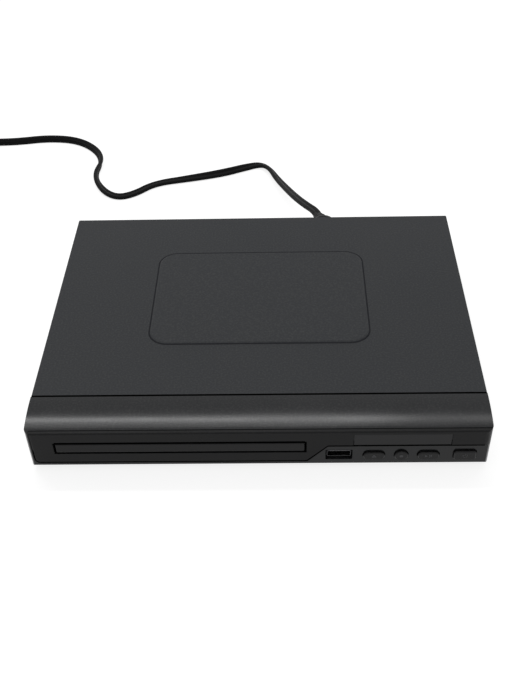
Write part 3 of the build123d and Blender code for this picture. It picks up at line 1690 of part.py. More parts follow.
# Plug: flexible neck, body with a flared grip and two flat blades.
plug_x = plug_start.X
plug_z = plug_start.Z
plug_plane = Plane(origin=plug_start, x_dir=(1, 0, 0), z_dir=(0, -1, 0))
plug_thickness = 2 * plug_z
with BuildPart() as mains_plug:
    for reach, width, height in (
        (0.0, cord_diameter * 1.5, cord_diameter * 1.3),
        (plug_neck, cord_diameter * 2.0, cord_diameter * 1.7),
    ):
        with BuildSketch(plug_plane.offset(reach)):
            RectangleRounded(width, height, cord_diameter * 0.6)
    loft()
    for reach, share in ((plug_neck, 0.76), (plug_neck + plug_length * 0.35, 1.0)):
        with BuildSketch(plug_plane.offset(reach)):
            RectangleRounded(plug_width * share, plug_thickness * share, plug_corner)
    loft()
    with BuildSketch(plug_plane.offset(plug_neck + plug_length * 0.35)):
        RectangleRounded(plug_width, plug_thickness, plug_corner)
    extrude(amount=plug_length * 0.65)
    for side in (-1, 1):
        block(
            (
                plug_x + side * blade_spacing / 2 - blade_thickness / 2,
                plug_x + side * blade_spacing / 2 + blade_thickness / 2,
            ),
            (
                plug_start.Y - plug_neck - plug_length - 1,
                plug_start.Y - plug_neck - plug_length + blade_root,
            ),
            (plug_z - blade_width / 2, plug_z + blade_width / 2),
            Mode.SUBTRACT,
        )
save(mains_plug.part, "mains_plug")

with BuildPart() as plug_blades:
    for side in (-1, 1):
        blade_x = plug_x + side * blade_spacing / 2
        with BuildSketch(plug_plane.offset(plug_neck + plug_length - blade_root)):
            with Locations((side * blade_spacing / 2, 0)):
                Rectangle(blade_thickness, blade_width)
        extrude(amount=blade_root + blade_length)
        chamfer(
            plug_blades.edges().filter_by(Axis.X).group_by(Axis.Y)[0],
            length=blade_thickness,
        )
        rod_x(
            (blade_x - blade_thickness, blade_x + blade_thickness),
            plug_start.Y - plug_neck - plug_length - blade_length * 0.72,
            plug_z,
            blade_hole,
            Mode.SUBTRACT,
        )
save(plug_blades.part, "plug_blades")
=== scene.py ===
"""Looks of a compact disc player with a motor tray: its finishes, flat mains cord, plug and studio.

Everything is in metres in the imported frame: +X to the right as seen from the front, +Y to the
rear, +Z up, and the surface that the player stands on is z = 0.
"""

import math

import bmesh
import bpy
from mathutils import Matrix, Vector


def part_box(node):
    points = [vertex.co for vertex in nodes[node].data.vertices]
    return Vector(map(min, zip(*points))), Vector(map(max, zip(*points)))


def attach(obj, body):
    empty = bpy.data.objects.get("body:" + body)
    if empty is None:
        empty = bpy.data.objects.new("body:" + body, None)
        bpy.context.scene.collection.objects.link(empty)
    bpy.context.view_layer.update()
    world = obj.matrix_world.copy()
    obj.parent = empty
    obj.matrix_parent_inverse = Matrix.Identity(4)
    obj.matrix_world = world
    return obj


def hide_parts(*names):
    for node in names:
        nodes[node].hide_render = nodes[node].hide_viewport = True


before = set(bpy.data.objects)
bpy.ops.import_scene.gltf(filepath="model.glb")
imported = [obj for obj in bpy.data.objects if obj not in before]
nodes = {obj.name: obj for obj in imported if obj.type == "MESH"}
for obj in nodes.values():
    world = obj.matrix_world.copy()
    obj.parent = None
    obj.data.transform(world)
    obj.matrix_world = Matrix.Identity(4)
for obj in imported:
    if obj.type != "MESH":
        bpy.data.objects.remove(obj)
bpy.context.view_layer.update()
mm = 0.001
scene = bpy.context.scene


# ================================================================ camera, lamps and floor
sensor_long_side = 36.0  # millimetres, and so is the focal length
focal_length = 53.10
camera_place = Vector((0.015761, -0.486593, 0.412257))
camera_yaw = -2.0691  # degrees to the right of +Y
camera_pitch = 39.9846  # degrees below the horizon
camera_roll = -1.8910  # degrees about the line of sight

background_level = 1.0  # what a camera, a mirror or glass sees of the surroundings
room_level = 0.5  # soft light from all round
floor_colour = (0.36, 0.36, 0.36, 1.0)
floor_lift = 0.82
floor_half = 6.0

lamp_back = 0.29  # the two lamps hang in one row, above and behind the player
lamp_height = 0.95
lamp_depth = 0.09
nose_back = -0.10  # the bezel's rolled nose, which they are turned to and which mirrors them
nose_height = 0.03
lamps = (  # name, place across, width, power
    ("overhead_softbox", -0.225, 0.79, 3.0),
    ("dim_softbox_right", 0.42, 0.50, 0.62),
)


def place_camera():
    """Camera at the photograph's place and angle."""
    yaw = math.radians(camera_yaw)
    pitch = math.radians(camera_pitch)
    roll = math.radians(camera_roll)
    ahead = Vector(
        (math.sin(yaw) * math.cos(pitch), math.cos(yaw) * math.cos(pitch), -math.sin(pitch))
    )
    level = Vector((math.cos(yaw), -math.sin(yaw), 0.0))
    upright = level.cross(ahead)
    right = level * math.cos(roll) + upright * math.sin(roll)
    up = upright * math.cos(roll) - level * math.sin(roll)
    data = bpy.data.cameras.new("photo_camera")
    data.sensor_width = sensor_long_side
    data.lens = focal_length
    data.clip_start = 0.01
    data.clip_end = 50.0
    camera = bpy.data.objects.new("photo_camera", data)
    turned = Matrix((right, up, -ahead)).transposed()
    camera.matrix_world = Matrix.Translation(camera_place) @ turned.to_4x4()
    scene.collection.objects.link(camera)
    scene.camera = camera


def add_softbox(name, across, width, power):
    """Rectangular lamp, turned towards the bezel's nose."""
    data = bpy.data.lights.new(name, "AREA")
    data.shape = "RECTANGLE"
    data.size = width
    data.size_y = lamp_depth
    data.energy = power
    place = Vector((across, lamp_back, lamp_height))
    aim = Vector((across, nose_back, nose_height))
    lamp = bpy.data.objects.new(name, data)
    lamp.location = place
    lamp.rotation_mode = "QUATERNION"
    lamp.rotation_quaternion = (aim - place).to_track_quat("-Z", "Y")
    scene.collection.objects.link(lamp)


def node(tree, kind, inputs=None, **settings):
    """Adds a shader node. Each input is a value, or the output that is linked to it."""
    made = tree.nodes.new("ShaderNode" + kind)
    for key, value in settings.items():
        setattr(made, key, value)
    for label, value in (inputs or {}).items():
        if isinstance(value, bpy.types.NodeSocket):
            tree.links.new(value, made.inputs[label])
        else:
            made.inputs[label].default_value = value
    return made


def multiply(tree, first, second):
    """Output of first times second."""
    return node(tree, "Math", {0: first, 1: second}, operation="MULTIPLY").outputs[0]


def ramp(tree, value, low, high, start=0.0, end=1.0):
    """Output that goes from start to end as value goes from low to high."""
    limits = {"From Min": low, "From Max": high, "To Min": start, "To Max": end}
    return node(tree, "MapRange", {"Value": value, **limits}).outputs["Result"]


def seen_directly(tree):
    """1 for camera, mirror and glass rays, and 0 for the rays that light the object."""
    path = node(tree, "LightPath")
    seen = path.outputs["Is Camera Ray"]
    for ray in ("Is Glossy Ray", "Is Transmission Ray"):
        either = node(tree, "Math", {0: seen, 1: path.outputs[ray]}, operation="MAXIMUM")
        seen = either.outputs[0]
    return seen


def light_room():
    """White surroundings that light the object softly."""
    world = bpy.data.worlds.new("studio")
    scene.world = world
    world.use_nodes = True
    tree = world.node_tree
    background = tree.nodes["Background"]
    background.inputs["Color"].default_value = (1.0, 1.0, 1.0, 1.0)
    level = ramp(tree, seen_directly(tree), 0.0, 1.0, room_level, background_level)
    tree.links.new(level, background.inputs["Strength"])


def lay_floor():
    """Plain pale floor. Its glow shows to the camera and in mirrors, and its shadows stay."""
    mesh = bpy.data.meshes.new("floor")
    corners = [(-1, -1), (1, -1), (1, 1), (-1, 1)]
    places = [(x * floor_half, y * floor_half, 0.0) for x, y in corners]
    mesh.from_pydata(places, [], [(0, 1, 2, 3)])
    floor = bpy.data.objects.new("floor", mesh)
    scene.collection.objects.link(floor)
    material = bpy.data.materials.new("pale_floor")
    material.use_nodes = True
    tree = material.node_tree
    surface = tree.nodes["Principled BSDF"]
    surface.inputs["Base Color"].default_value = floor_colour
    surface.inputs["Roughness"].default_value = 0.9
    surface.inputs["Specular IOR Level"].default_value = 0.0
    glow = node(tree, "Emission", {"Color": (1.0, 1.0, 1.0, 1.0)})
    tree.links.new(multiply(tree, seen_directly(tree), floor_lift), glow.inputs["Strength"])
    both = node(tree, "AddShader", {0: surface.outputs[0], 1: glow.outputs[0]})
    tree.links.new(both.outputs[0], tree.nodes["Material Output"].inputs["Surface"])
    mesh.materials.append(material)


place_camera()
light_room()
lay_floor()
scene.view_settings.view_transform = "Standard"
for lamp in lamps:
    add_softbox(*lamp)


# ================================================================ effects shared by the finishes
def new_group(name, inputs, outputs):
    """Empty shader group. Inputs are (label, type, value) and outputs are (label, type)."""
    group = bpy.data.node_groups.new(name, "ShaderNodeTree")
    for label, kind, value in inputs:
        socket = group.interface.new_socket(label, in_out="INPUT", socket_type="NodeSocket" + kind)
        socket.default_value = value
    for label, kind in outputs:
        group.interface.new_socket(label, in_out="OUTPUT", socket_type="NodeSocket" + kind)
    return group, group.nodes.new("NodeGroupInput"), group.nodes.new("NodeGroupOutput")


def noise(tree, place, size, detail=3.0, roughness=0.55):
    """Noise whose patches are about size across, where size is an output in metres."""
    scale = node(tree, "Math", {0: 1.0, 1: size}, operation="DIVIDE").outputs[0]
    inputs = {"Vector": place, "Scale": scale, "Detail": detail, "Roughness": roughness}
    return node(tree, "TexNoise", inputs).outputs["Fac"]


def make_moulded_grain():
    """Fine grain of moulded plastic or sprayed paint."""
    tree, entry, leave = new_group(
        "moulded_grain",
        [("Grain", "Float", 0.0004), ("Depth", "Float", 0.00001)],
        [("Normal", "Vector")],
    )
    place = node(tree, "TexCoord").outputs["Object"]
    height = noise(tree, place, entry.outputs["Grain"], 4.0, 0.6)
    bump = node(tree, "Bump", {"Height": height, "Distance": entry.outputs["Depth"]})
    tree.links.new(bump.outputs["Normal"], leave.inputs["Normal"])
    return tree


def make_drawn_lines():
    """Fine lines of rolled, turned or drawn metal, with their direction as a stretch."""
    tree, entry, leave = new_group(
        "drawn_lines",
        [
            ("Stretch", "Vector", (1.0, 1.0, 1.0)),
            ("Line", "Float", 0.0003),
            ("Depth", "Float", 0.000005),
        ],
        [("Normal", "Vector")],
    )
    place = node(tree, "TexCoord").outputs["Object"]
    drawn = node(
        tree, "VectorMath", {0: place, 1: entry.outputs["Stretch"]}, operation="MULTIPLY"
    )
    lines = noise(tree, drawn.outputs[0], entry.outputs["Line"], 2.0, 0.7)
    bump = node(tree, "Bump", {"Height": lines, "Distance": entry.outputs["Depth"]})
    tree.links.new(bump.outputs["Normal"], leave.inputs["Normal"])
    return tree


def make_surface_drift():
    """Slow drift of colour and gloss over a surface, as on real mouldings and paint."""
    tree, entry, leave = new_group(
        "surface_drift",
        [
            ("Colour", "Color", (0.5, 0.5, 0.5, 1.0)),
            ("Drift", "Float", 0.06),
            ("Roughness", "Float", 0.5),
            ("Spread", "Float", 0.05),
            ("Patch", "Float", 0.03),
        ],
        [("Colour", "Color"), ("Roughness", "Float")],
    )
    place = node(tree, "TexCoord").outputs["Object"]
    patches = noise(tree, place, entry.outputs["Patch"])
    swing = ramp(tree, patches, 0.3, 0.7, -1.0, 1.0)
    lighter = node(
        tree, "Math", {0: swing, 1: entry.outputs["Drift"], 2: 1.0}, operation="MULTIPLY_ADD"
    )
    tone = node(
        tree, "HueSaturation", {"Color": entry.outputs["Colour"], "Value": lighter.outputs[0]}
    )
    rougher = node(
        tree,
        "Math",
        {0: swing, 1: entry.outputs["Spread"], 2: entry.outputs["Roughness"]},
        operation="MULTIPLY_ADD",
    )
    tree.links.new(tone.outputs["Color"], leave.inputs["Colour"])
    tree.links.new(rougher.outputs[0], leave.inputs["Roughness"])
    return tree


def make_edge_wear():
    """Mask of edges that handling has polished, broken up along their length."""
    tree, entry, leave = new_group(
        "edge_wear",
        [("Width", "Float", 0.0004), ("Amount", "Float", 0.3)],
        [("Mask", "Float")],
    )
    rounded = node(tree, "Bevel", {"Radius": entry.outputs["Width"]}, samples=4)
    flat = node(tree, "NewGeometry")
    along = node(
        tree,
        "VectorMath",
        {0: rounded.outputs["Normal"], 1: flat.outputs["Normal"]},
        operation="DOT_PRODUCT",
    )
    bend = ramp(tree, along.outputs["Value"], 0.995, 0.85)
    place = node(tree, "TexCoord").outputs["Object"]
    breaks = node(tree, "TexNoise", {"Vector": place, "Scale": 180.0, "Detail": 4.0})
    worn = multiply(tree, bend, ramp(tree, breaks.outputs["Fac"], 0.38, 0.62))
    tree.links.new(multiply(tree, worn, entry.outputs["Amount"]), leave.inputs["Mask"])
    return tree


def make_crevice_dark():
    """Mask of painted shade in gaps and seams, darker where other faces are near."""
    tree, entry, leave = new_group(
        "painted_crevice_shade",
        [("Reach", "Float", 0.002), ("Amount", "Float", 0.9)],
        [("Mask", "Float")],
    )
    nearby = node(tree, "AmbientOcclusion", {"Distance": entry.outputs["Reach"]}, samples=6)
    closed = ramp(tree, nearby.outputs["AO"], 0.88, 0.45)
    tree.links.new(multiply(tree, closed, entry.outputs["Amount"]), leave.inputs["Mask"])
    return tree


def make_settled_dust():
    """Mask of the thin dust that lies on what faces up."""
    tree, entry, leave = new_group(
        "settled_dust",
        [("Amount", "Float", 0.03)],
        [("Mask", "Float")],
    )
    facing = node(tree, "SeparateXYZ", {"Vector": node(tree, "NewGeometry").outputs["Normal"]})
    upward = node(tree, "Math", {0: facing.outputs["Z"], 1: 0.0}, operation="MAXIMUM")
    place = node(tree, "TexCoord").outputs["Object"]
    specks = node(tree, "TexNoise", {"Vector": place, "Scale": 900.0, "Detail": 6.0})
    lying = multiply(tree, upward.outputs[0], ramp(tree, specks.outputs["Fac"], 0.45, 0.75))
    tree.links.new(multiply(tree, lying, entry.outputs["Amount"]), leave.inputs["Mask"])
    return tree


moulded_grain = make_moulded_grain()
drawn_lines = make_drawn_lines()
surface_drift = make_surface_drift()
edge_wear = make_edge_wear()
painted_crevice_shade = make_crevice_dark()
settled_dust = make_settled_dust()


# ================================================================ finishes
dust_colour = (0.32, 0.31, 0.29, 1.0)
gap_shade_reach = 0.0016  # faces nearer to each other than this get painted shade and less gloss between them


def shade(red, green, blue):
    """Linear colour of a screen colour from 0 to 255."""
    values = []
    for value in (red / 255, green / 255, blue / 255):
        values.append(value / 12.92 if value <= 0.04045 else ((value + 0.055) / 1.055) ** 2.4)
    return (*values, 1.0)


def place_group(tree, group, inputs):
    """Puts a shared effect in a material, with its own values."""
    return node(tree, "Group", inputs, node_tree=group)


def blend_colours(tree, mask, first, second):
    """Colour that goes from first to second as mask goes from 0 to 1."""
    mix = node(tree, "Mix", {"Factor": mask, 6: first, 7: second}, data_type="RGBA")
    return mix.outputs[2]


def make_finish(
    name,
    colour,
    roughness,
    metallic=0.0,
    specular=0.5,
    drift=0.05,
    spread=0.05,
    patch=0.004,
    grain=0.0003,
    depth=0.00001,
    wear=0.25,
    worn=None,
    wear_width=0.0004,
    dust=0.03,
    crevice=0.0,
    stretch=None,
    pattern=None,
):
    """Material of a finish. Pattern, where there is one, adds a colour pattern to the base."""
    material = bpy.data.materials.new(name)
    material.use_nodes = True
    tree = material.node_tree
    surface = tree.nodes["Principled BSDF"]
    surface.inputs["Metallic"].default_value = metallic
    surface.inputs["Specular IOR Level"].default_value = specular
    base = pattern(tree, colour) if pattern else colour
    drifting = place_group(
        tree,
        surface_drift,
        {"Colour": base, "Drift": drift, "Roughness": roughness, "Spread": spread, "Patch": patch},
    )
    tone = drifting.outputs["Colour"]
    if wear:
        edges = place_group(tree, edge_wear, {"Width": wear_width, "Amount": wear})
        tone = blend_colours(tree, edges.outputs["Mask"], tone, worn or shade(120, 120, 122))
    if dust:
        lying = place_group(tree, settled_dust, {"Amount": dust})
        tone = blend_colours(tree, lying.outputs["Mask"], tone, dust_colour)
    gloss = drifting.outputs["Roughness"]
    # Painted shade: black blended in where other faces are near, as in gaps and seams.
    if crevice:
        crevice_shade_mask = place_group(tree, painted_crevice_shade, {"Reach": crevice}).outputs["Mask"]
        tone = blend_colours(tree, crevice_shade_mask, tone, (0.0, 0.0, 0.0, 1.0))
        dull = node(tree, "Math", {0: crevice_shade_mask, 1: gloss}, operation="MAXIMUM")
        gloss = dull.outputs[0]
    tree.links.new(tone, surface.inputs["Base Color"])
    tree.links.new(gloss, surface.inputs["Roughness"])
    if stretch:
        relief = place_group(tree, drawn_lines, {"Stretch": stretch, "Line": grain, "Depth": depth})
    else:
        relief = place_group(tree, moulded_grain, {"Grain": grain, "Depth": depth})
    tree.links.new(relief.outputs["Normal"], surface.inputs["Normal"])
    return material


def board_tracks(tree, colour):
    """Solder mask over copper: tracks at right angles, lighter than the bare board."""
    place = node(tree, "TexCoord").outputs["Object"]
    cells = node(
        tree, "TexVoronoi", {"Vector": place, "Scale": 420.0}, distance="MANHATTAN", feature="F1"
    )
    edge = ramp(tree, cells.outputs["Distance"], 0.42, 0.5)
    copper = (colour[0] * 2.2 + 0.01, colour[1] * 1.7 + 0.02, colour[2] * 1.6 + 0.01, 1.0)
    return blend_colours(tree, edge, copper, colour)


def tape_layers(tree, colour):
    """Winding tape in overlapping turns round the core."""
    place = node(tree, "TexCoord").outputs["Object"]
    inputs = {"Vector": place, "Scale": 90.0, "Distortion": 0.6}
    turns = node(tree, "TexWave", inputs, bands_direction="Z")
    dark = (colour[0] * 0.55, colour[1] * 0.5, colour[2] * 0.45, 1.0)
    return blend_colours(tree, turns.outputs["Fac"], dark, colour)


def make_clear(name, colour, roughness, ior):
    """Clear moulded or ground glass."""
    material = bpy.data.materials.new(name)
    material.use_nodes = True
    tree = material.node_tree
    surface = tree.nodes["Principled BSDF"]
    surface.inputs["Transmission Weight"].default_value = 1.0
    surface.inputs["IOR"].default_value = ior
    drifting = place_group(
        tree,
        surface_drift,
        {"Colour": colour, "Drift": 0.05, "Roughness": roughness, "Spread": 0.02, "Patch": 0.002},
    )
    tree.links.new(drifting.outputs["Colour"], surface.inputs["Base Color"])
    tree.links.new(drifting.outputs["Roughness"], surface.inputs["Roughness"])
    return material


finishes = {
    "cover_paint": make_finish(
        "black_cover_paint", shade(35, 37, 40), 0.52, specular=0.2, spread=0.03, patch=0.05,
        grain=0.00035, depth=0.000012, wear=0.35, worn=shade(92, 93, 95), dust=0.05,
        crevice=gap_shade_reach,
    ),
    "bezel_plastic": make_finish(
        "black_bezel_plastic", shade(30, 31, 33), 0.18, specular=0.23, spread=0.03, patch=0.04,
        depth=0.000004, wear=0.2, worn=shade(80, 80, 82), dust=0.04, crevice=gap_shade_reach,
    ),
    "fascia_plastic": make_finish(
        "black_fascia_plastic", shade(23, 23, 24), 0.3, specular=0.12, spread=0.04, patch=0.03,
        grain=0.0008, depth=0.000002, worn=shade(70, 70, 72), crevice=gap_shade_reach,
    ),
    "window_plastic": make_finish(
        "smoked_window", shade(27, 27, 29), 0.24, specular=0.2, drift=0.04, spread=0.03,
        patch=0.02, grain=0.001, depth=0.000002, wear=0.1, worn=shade(70, 70, 72),
        crevice=gap_shade_reach,
    ),
    "button_plastic": make_finish(
        "black_button_plastic", shade(24, 24, 25), 0.3, specular=0.18, grain=0.0004,
        depth=0.000003, wear=0.4, worn=shade(85, 85, 86), crevice=gap_shade_reach,
    ),
    "door_plastic": make_finish(
        "black_door_plastic", shade(27, 27, 28), 0.3, specular=0.15, spread=0.04, patch=0.03,
        grain=0.0005, depth=0.000003, worn=shade(75, 75, 77), crevice=gap_shade_reach,
    ),
    "tray_plastic": make_finish(
        "black_tray_plastic", shade(34, 34, 36), 0.5, specular=0.4, drift=0.06, patch=0.02,
        wear=0.3, worn=shade(80, 80, 82), dust=0.04, crevice=gap_shade_reach,
    ),
    "mechanism_plastic": make_finish(
        "grey_mechanism_plastic", shade(52, 53, 55), 0.5, specular=0.4, drift=0.06, patch=0.02,
        worn=shade(110, 110, 112),
    ),
    "gear_plastic": make_finish(
        "white_gear_plastic", shade(214, 210, 198), 0.42, drift=0.04, patch=0.006, depth=0.000005,
        wear=0.2, worn=shade(236, 234, 226),
    ),
    "chassis_steel": make_finish(
        "black_chassis_steel", shade(40, 41, 43), 0.48, specular=0.25, drift=0.06, patch=0.04,
        grain=0.0004, wear=0.5, worn=shade(120, 120, 122), crevice=gap_shade_reach,
    ),
    "bridge_steel": make_finish(
        "pressed_bridge_steel", shade(176, 178, 180), 0.34, metallic=1.0, drift=0.08, spread=0.08,
        patch=0.015, depth=0.000006, wear=0.4, worn=shade(215, 216, 218), stretch=(0.05, 1.0, 1.0),
    ),
    "plated_steel": make_finish(
        "nickel_plated_steel", shade(198, 198, 196), 0.26, metallic=1.0, drift=0.08, spread=0.08,
        grain=0.0002, depth=0.000003, wear=0.3, worn=shade(226, 226, 224),
        stretch=(1.0, 0.08, 1.0), dust=0.02,
    ),
    "screw_steel": make_finish(
        "black_screw_steel", shade(58, 58, 60), 0.38, metallic=0.9, drift=0.1, spread=0.1,
        patch=0.002, grain=0.0002, depth=0.000004, wear=0.7, worn=shade(150, 150, 150),
        wear_width=0.0002,
    ),
    "motor_steel": make_finish(
        "galvanised_motor_steel", shade(168, 170, 172), 0.32, metallic=1.0, drift=0.12, spread=0.1,
        patch=0.003, grain=0.0002, depth=0.000004, wear=0.3, worn=shade(205, 206, 208),
        stretch=(1.0, 1.0, 0.08),
    ),
    "blade_brass": make_finish(
        "bright_blade_brass", shade(206, 178, 112), 0.24, metallic=1.0, drift=0.1, spread=0.08,
        grain=0.0002, depth=0.000003, wear=0.5, worn=shade(232, 208, 150),
        stretch=(1.0, 0.06, 1.0), dust=0.0,
    ),
    "rubber_black": make_finish(
        "black_foot_rubber", shade(28, 28, 28), 0.82, specular=0.2, drift=0.1, spread=0.06,
        depth=0.00002, worn=shade(66, 65, 63), dust=0.08,
    ),
    "cord_pvc": make_finish(
        "black_cord_pvc", shade(15, 15, 16), 0.5, specular=0.07, drift=0.1, spread=0.06,
        patch=0.008, grain=0.0004, depth=0.000012, wear=0.0, dust=0.015,
    ),
    "plug_pvc": make_finish(
        "black_plug_pvc", shade(24, 24, 25), 0.5, specular=0.2, drift=0.08, spread=0.06,
        patch=0.006, worn=shade(64, 64, 65), dust=0.05,
    ),
    "strap_cloth": make_finish(
        "black_strap_cloth", shade(26, 26, 28), 0.9, specular=0.1, drift=0.12, patch=0.003,
        grain=0.0006, depth=0.00008, wear=0.0, dust=0.1,
    ),
    # Near-black matte for the strips that paint the shade of gaps and seams.
    "painted_gap_shade": make_finish(
        "black_painted_gap_shade", shade(5, 5, 5), 0.95, specular=0.0, drift=0.1, spread=0.03,
        patch=0.002, grain=0.0002, wear=0.0, dust=0.0,
    ),
    # Matte grey with almost no gloss, for the painted shade in the crease round the cover's raised
    # panel.
    "crease_paint": make_finish(
        "painted_crease_shade_grey", shade(41, 42, 45), 0.9, specular=0.05, spread=0.03, patch=0.05,
        grain=0.00035, depth=0.000012, wear=0.0, dust=0.02,
    ),
    # Darker copy of the plated steel for the USB shell and its lip: painted shade of the socket's
    # mouth, with painted shade in its gaps too.
    "socket_steel": make_finish(
        "shade_darkened_plated_steel", shade(84, 84, 86), 0.42, metallic=1.0, drift=0.1, spread=0.08,
        patch=0.003, grain=0.0002, depth=0.000003, wear=0.0, stretch=(1.0, 0.08, 1.0), dust=0.0,
        crevice=0.003,
    ),
    "mark_paint": make_finish(
        "grey_mark_paint", shade(88, 88, 90), 0.55, specular=0.2, drift=0.08, patch=0.001,
        grain=0.0002, depth=0.000004, wear=0.0, dust=0.0,
    ),
    "board_green": make_finish(
        "green_board", shade(28, 78, 48), 0.34, drift=0.06, patch=0.01, grain=0.0006, wear=0.5,
        worn=shade(170, 165, 120), pattern=board_tracks,
    ),
    "chip_black": make_finish(
        "black_chip_resin", shade(30, 30, 31), 0.55, specular=0.4, drift=0.08, grain=0.0002,
        depth=0.000008, wear=0.2, worn=shade(80, 80, 80),
    ),
    "collar_red": make_finish(
        "red_jack_plastic", shade(188, 28, 30), 0.36, depth=0.000006, worn=shade(222, 96, 92),
    ),
    "collar_white": make_finish(
        "white_jack_plastic", shade(224, 222, 214), 0.36, drift=0.04, depth=0.000006, wear=0.2,
        worn=shade(240, 239, 235),
    ),
    "collar_yellow": make_finish(
        "yellow_jack_plastic", shade(226, 178, 30), 0.36, depth=0.000006,
        worn=shade(240, 208, 104),
    ),
    "transformer_tape": make_finish(
        "yellow_winding_tape", shade(204, 168, 62), 0.4, drift=0.06, patch=0.006, grain=0.0004,
        depth=0.000012, wear=0.2, worn=shade(226, 200, 120), pattern=tape_layers,
    ),
    "can_sleeve": make_finish(
        "blue_can_sleeve", shade(30, 38, 66), 0.3, drift=0.06, patch=0.006, grain=0.0005,
        depth=0.000004, wear=0.3, worn=shade(140, 146, 160),
    ),
    "flex_white": make_finish(
        "white_flex_film", shade(222, 222, 216), 0.34, patch=0.01, grain=0.0004, depth=0.000006,
        wear=0.0, stretch=(0.02, 1.0, 1.0),
    ),
    "lead_brown": make_finish(
        "brown_lead_pvc", shade(92, 58, 36), 0.45, drift=0.08, patch=0.006, wear=0.0,
    ),
    "fuse_glass": make_clear("fuse_glass", shade(224, 230, 226), 0.06, 1.5),
    "lens_glass": make_clear("blue_lens_glass", shade(176, 190, 232), 0.04, 1.58),
}


def soften_edges(piece, width):
    """Small round on every sharp edge, as pressing and moulding leave it."""
    weld = piece.modifiers.new("joined_faces", "WELD")
    weld.merge_threshold = 0.002 * mm
    bevel = piece.modifiers.new("soft_edges", "BEVEL")
    bevel.width = width
    bevel.segments = 2
    bevel.limit_method = "ANGLE"
    bevel.angle_limit = math.radians(35)
    normals = piece.modifiers.new("even_shading", "WEIGHTED_NORMAL")
    normals.keep_sharp = True


edge_widths = {  # millimetres
    "top_cover": 0.2,
    "front_bezel": 0.2,
    "fascia_panel": 0.2,
    "display_window": 0.15,
    "tray_door": 0.3,
    "open_close_button": 0.25,
    "stop_button": 0.25,
    "play_pause_button": 0.25,
    "power_button": 0.25,
    "tray": 0.25,
    "chassis_base": 0.2,
    "usb_shell": 0.08,
    "hdmi_shell": 0.08,
    "socket_tongues": 0.1,
    "plug_blades": 0.15,
    "clamp_bridge": 0.2,
    "loader_frame": 0.2,
    "turntable": 0.15,
    "board_chips": 0.2,
    "transformer": 0.4,
}
for name, obj in nodes.items():
    for slot in obj.material_slots:
        finish = slot.material.name.split(".")[0]
        # The USB shell gets a darker, duller copy of the plated steel, as painted shade of the socket's
        # mouth.
        slot.material = finishes["socket_steel" if name == "usb_shell" else finish]
    if name in edge_widths:
        soften_edges(obj, edge_widths[name] * mm)


# ================================================================ swept and lofted pieces
def add_piece(name, mesh, finish, body):
    """Smooth piece of the object that rides on a body."""
    mesh.polygons.foreach_set("use_smooth", [True] * len(mesh.polygons))
    mesh.materials.clear()
    mesh.materials.append(finishes[finish])
    piece = bpy.data.objects.new(name, mesh)
    scene.collection.objects.link(piece)
    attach(piece, body)
    return piece


def between(ends, share):
    """Value at a share of the way from one end to the other."""
    return ends[0] + (ends[1] - ends[0]) * share


def arc(middle, radius, turns):
    """Points of an arc about a middle, at turns in degrees."""
    points = []
    for angle in map(math.radians, turns):
        points.append((middle[0] + radius * math.cos(angle), middle[1] + radius * math.sin(angle)))
    return points


def rounded_ring(width, height, corner, steps=6):
    """Points of a rounded rectangle about the origin, corner by corner."""
    corner = min(corner, width / 2, height / 2)
    points = []
    for quarter, (side, end) in enumerate(((1, 1), (-1, 1), (-1, -1), (1, -1))):
        for step in range(steps + 1):
            angle = math.pi / 2 * (quarter + step / steps)
            points.append(
                (
                    side * (width / 2 - corner) + corner * math.cos(angle),
                    end * (height / 2 - corner) + corner * math.sin(angle),
                )
            )
    return points


def skin(name, rings, endless=False):
    """Closed mesh through rings of points, with flat ends or, when endless, back to the first."""
    mesh = bpy.data.meshes.new(name)
    shape = bmesh.new()
    rows = [[shape.verts.new(point) for point in ring] for ring in rings]
    for low, high in zip(rows, rows[1:] + rows[:1] if endless else rows[1:]):
        for index in range(len(low)):
            after = (index + 1) % len(low)
            shape.faces.new((low[index], low[after], high[after], high[index]))
    if not endless:
        shape.faces.new(list(reversed(rows[0])))
        shape.faces.new(rows[-1])
    bmesh.ops.recalc_face_normals(shape, faces=shape.faces)
    shape.to_mesh(mesh)
    shape.free()
    return mesh


# ================================================================ flat mains cord
core_radius = 1.6 * mm  # each of the two cores, with its sheath
cord_width = 4 * core_radius
web_half = 0.9 * mm  # half the thickness between the cores
plug_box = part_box("mains_plug")
boot_end = Vector((0.038965, 0.114465, 0.0245))  # where the cord leaves the strain relief

# The stretch in the air: offsets across and to the rear of the boot's end, height, and lean of the
# flat cord in degrees, where 0 lies flat and 90 stands on its edge. All lengths in millimetres.
hanging_stretch = [
    (0.0, 0.0, 24.5, 0),
    (-2.0, 8.0, 23.5, 0),
    (-7.2, 19.0, 20.5, 0),
    (-14.5, 37.0, 16.0, 4),
    (-21.0, 58.0, 10.5, 11),
    (-28.5, 80.5, 6.0, 26),
    (-34.5, 101.0, 3.6, 54),
]
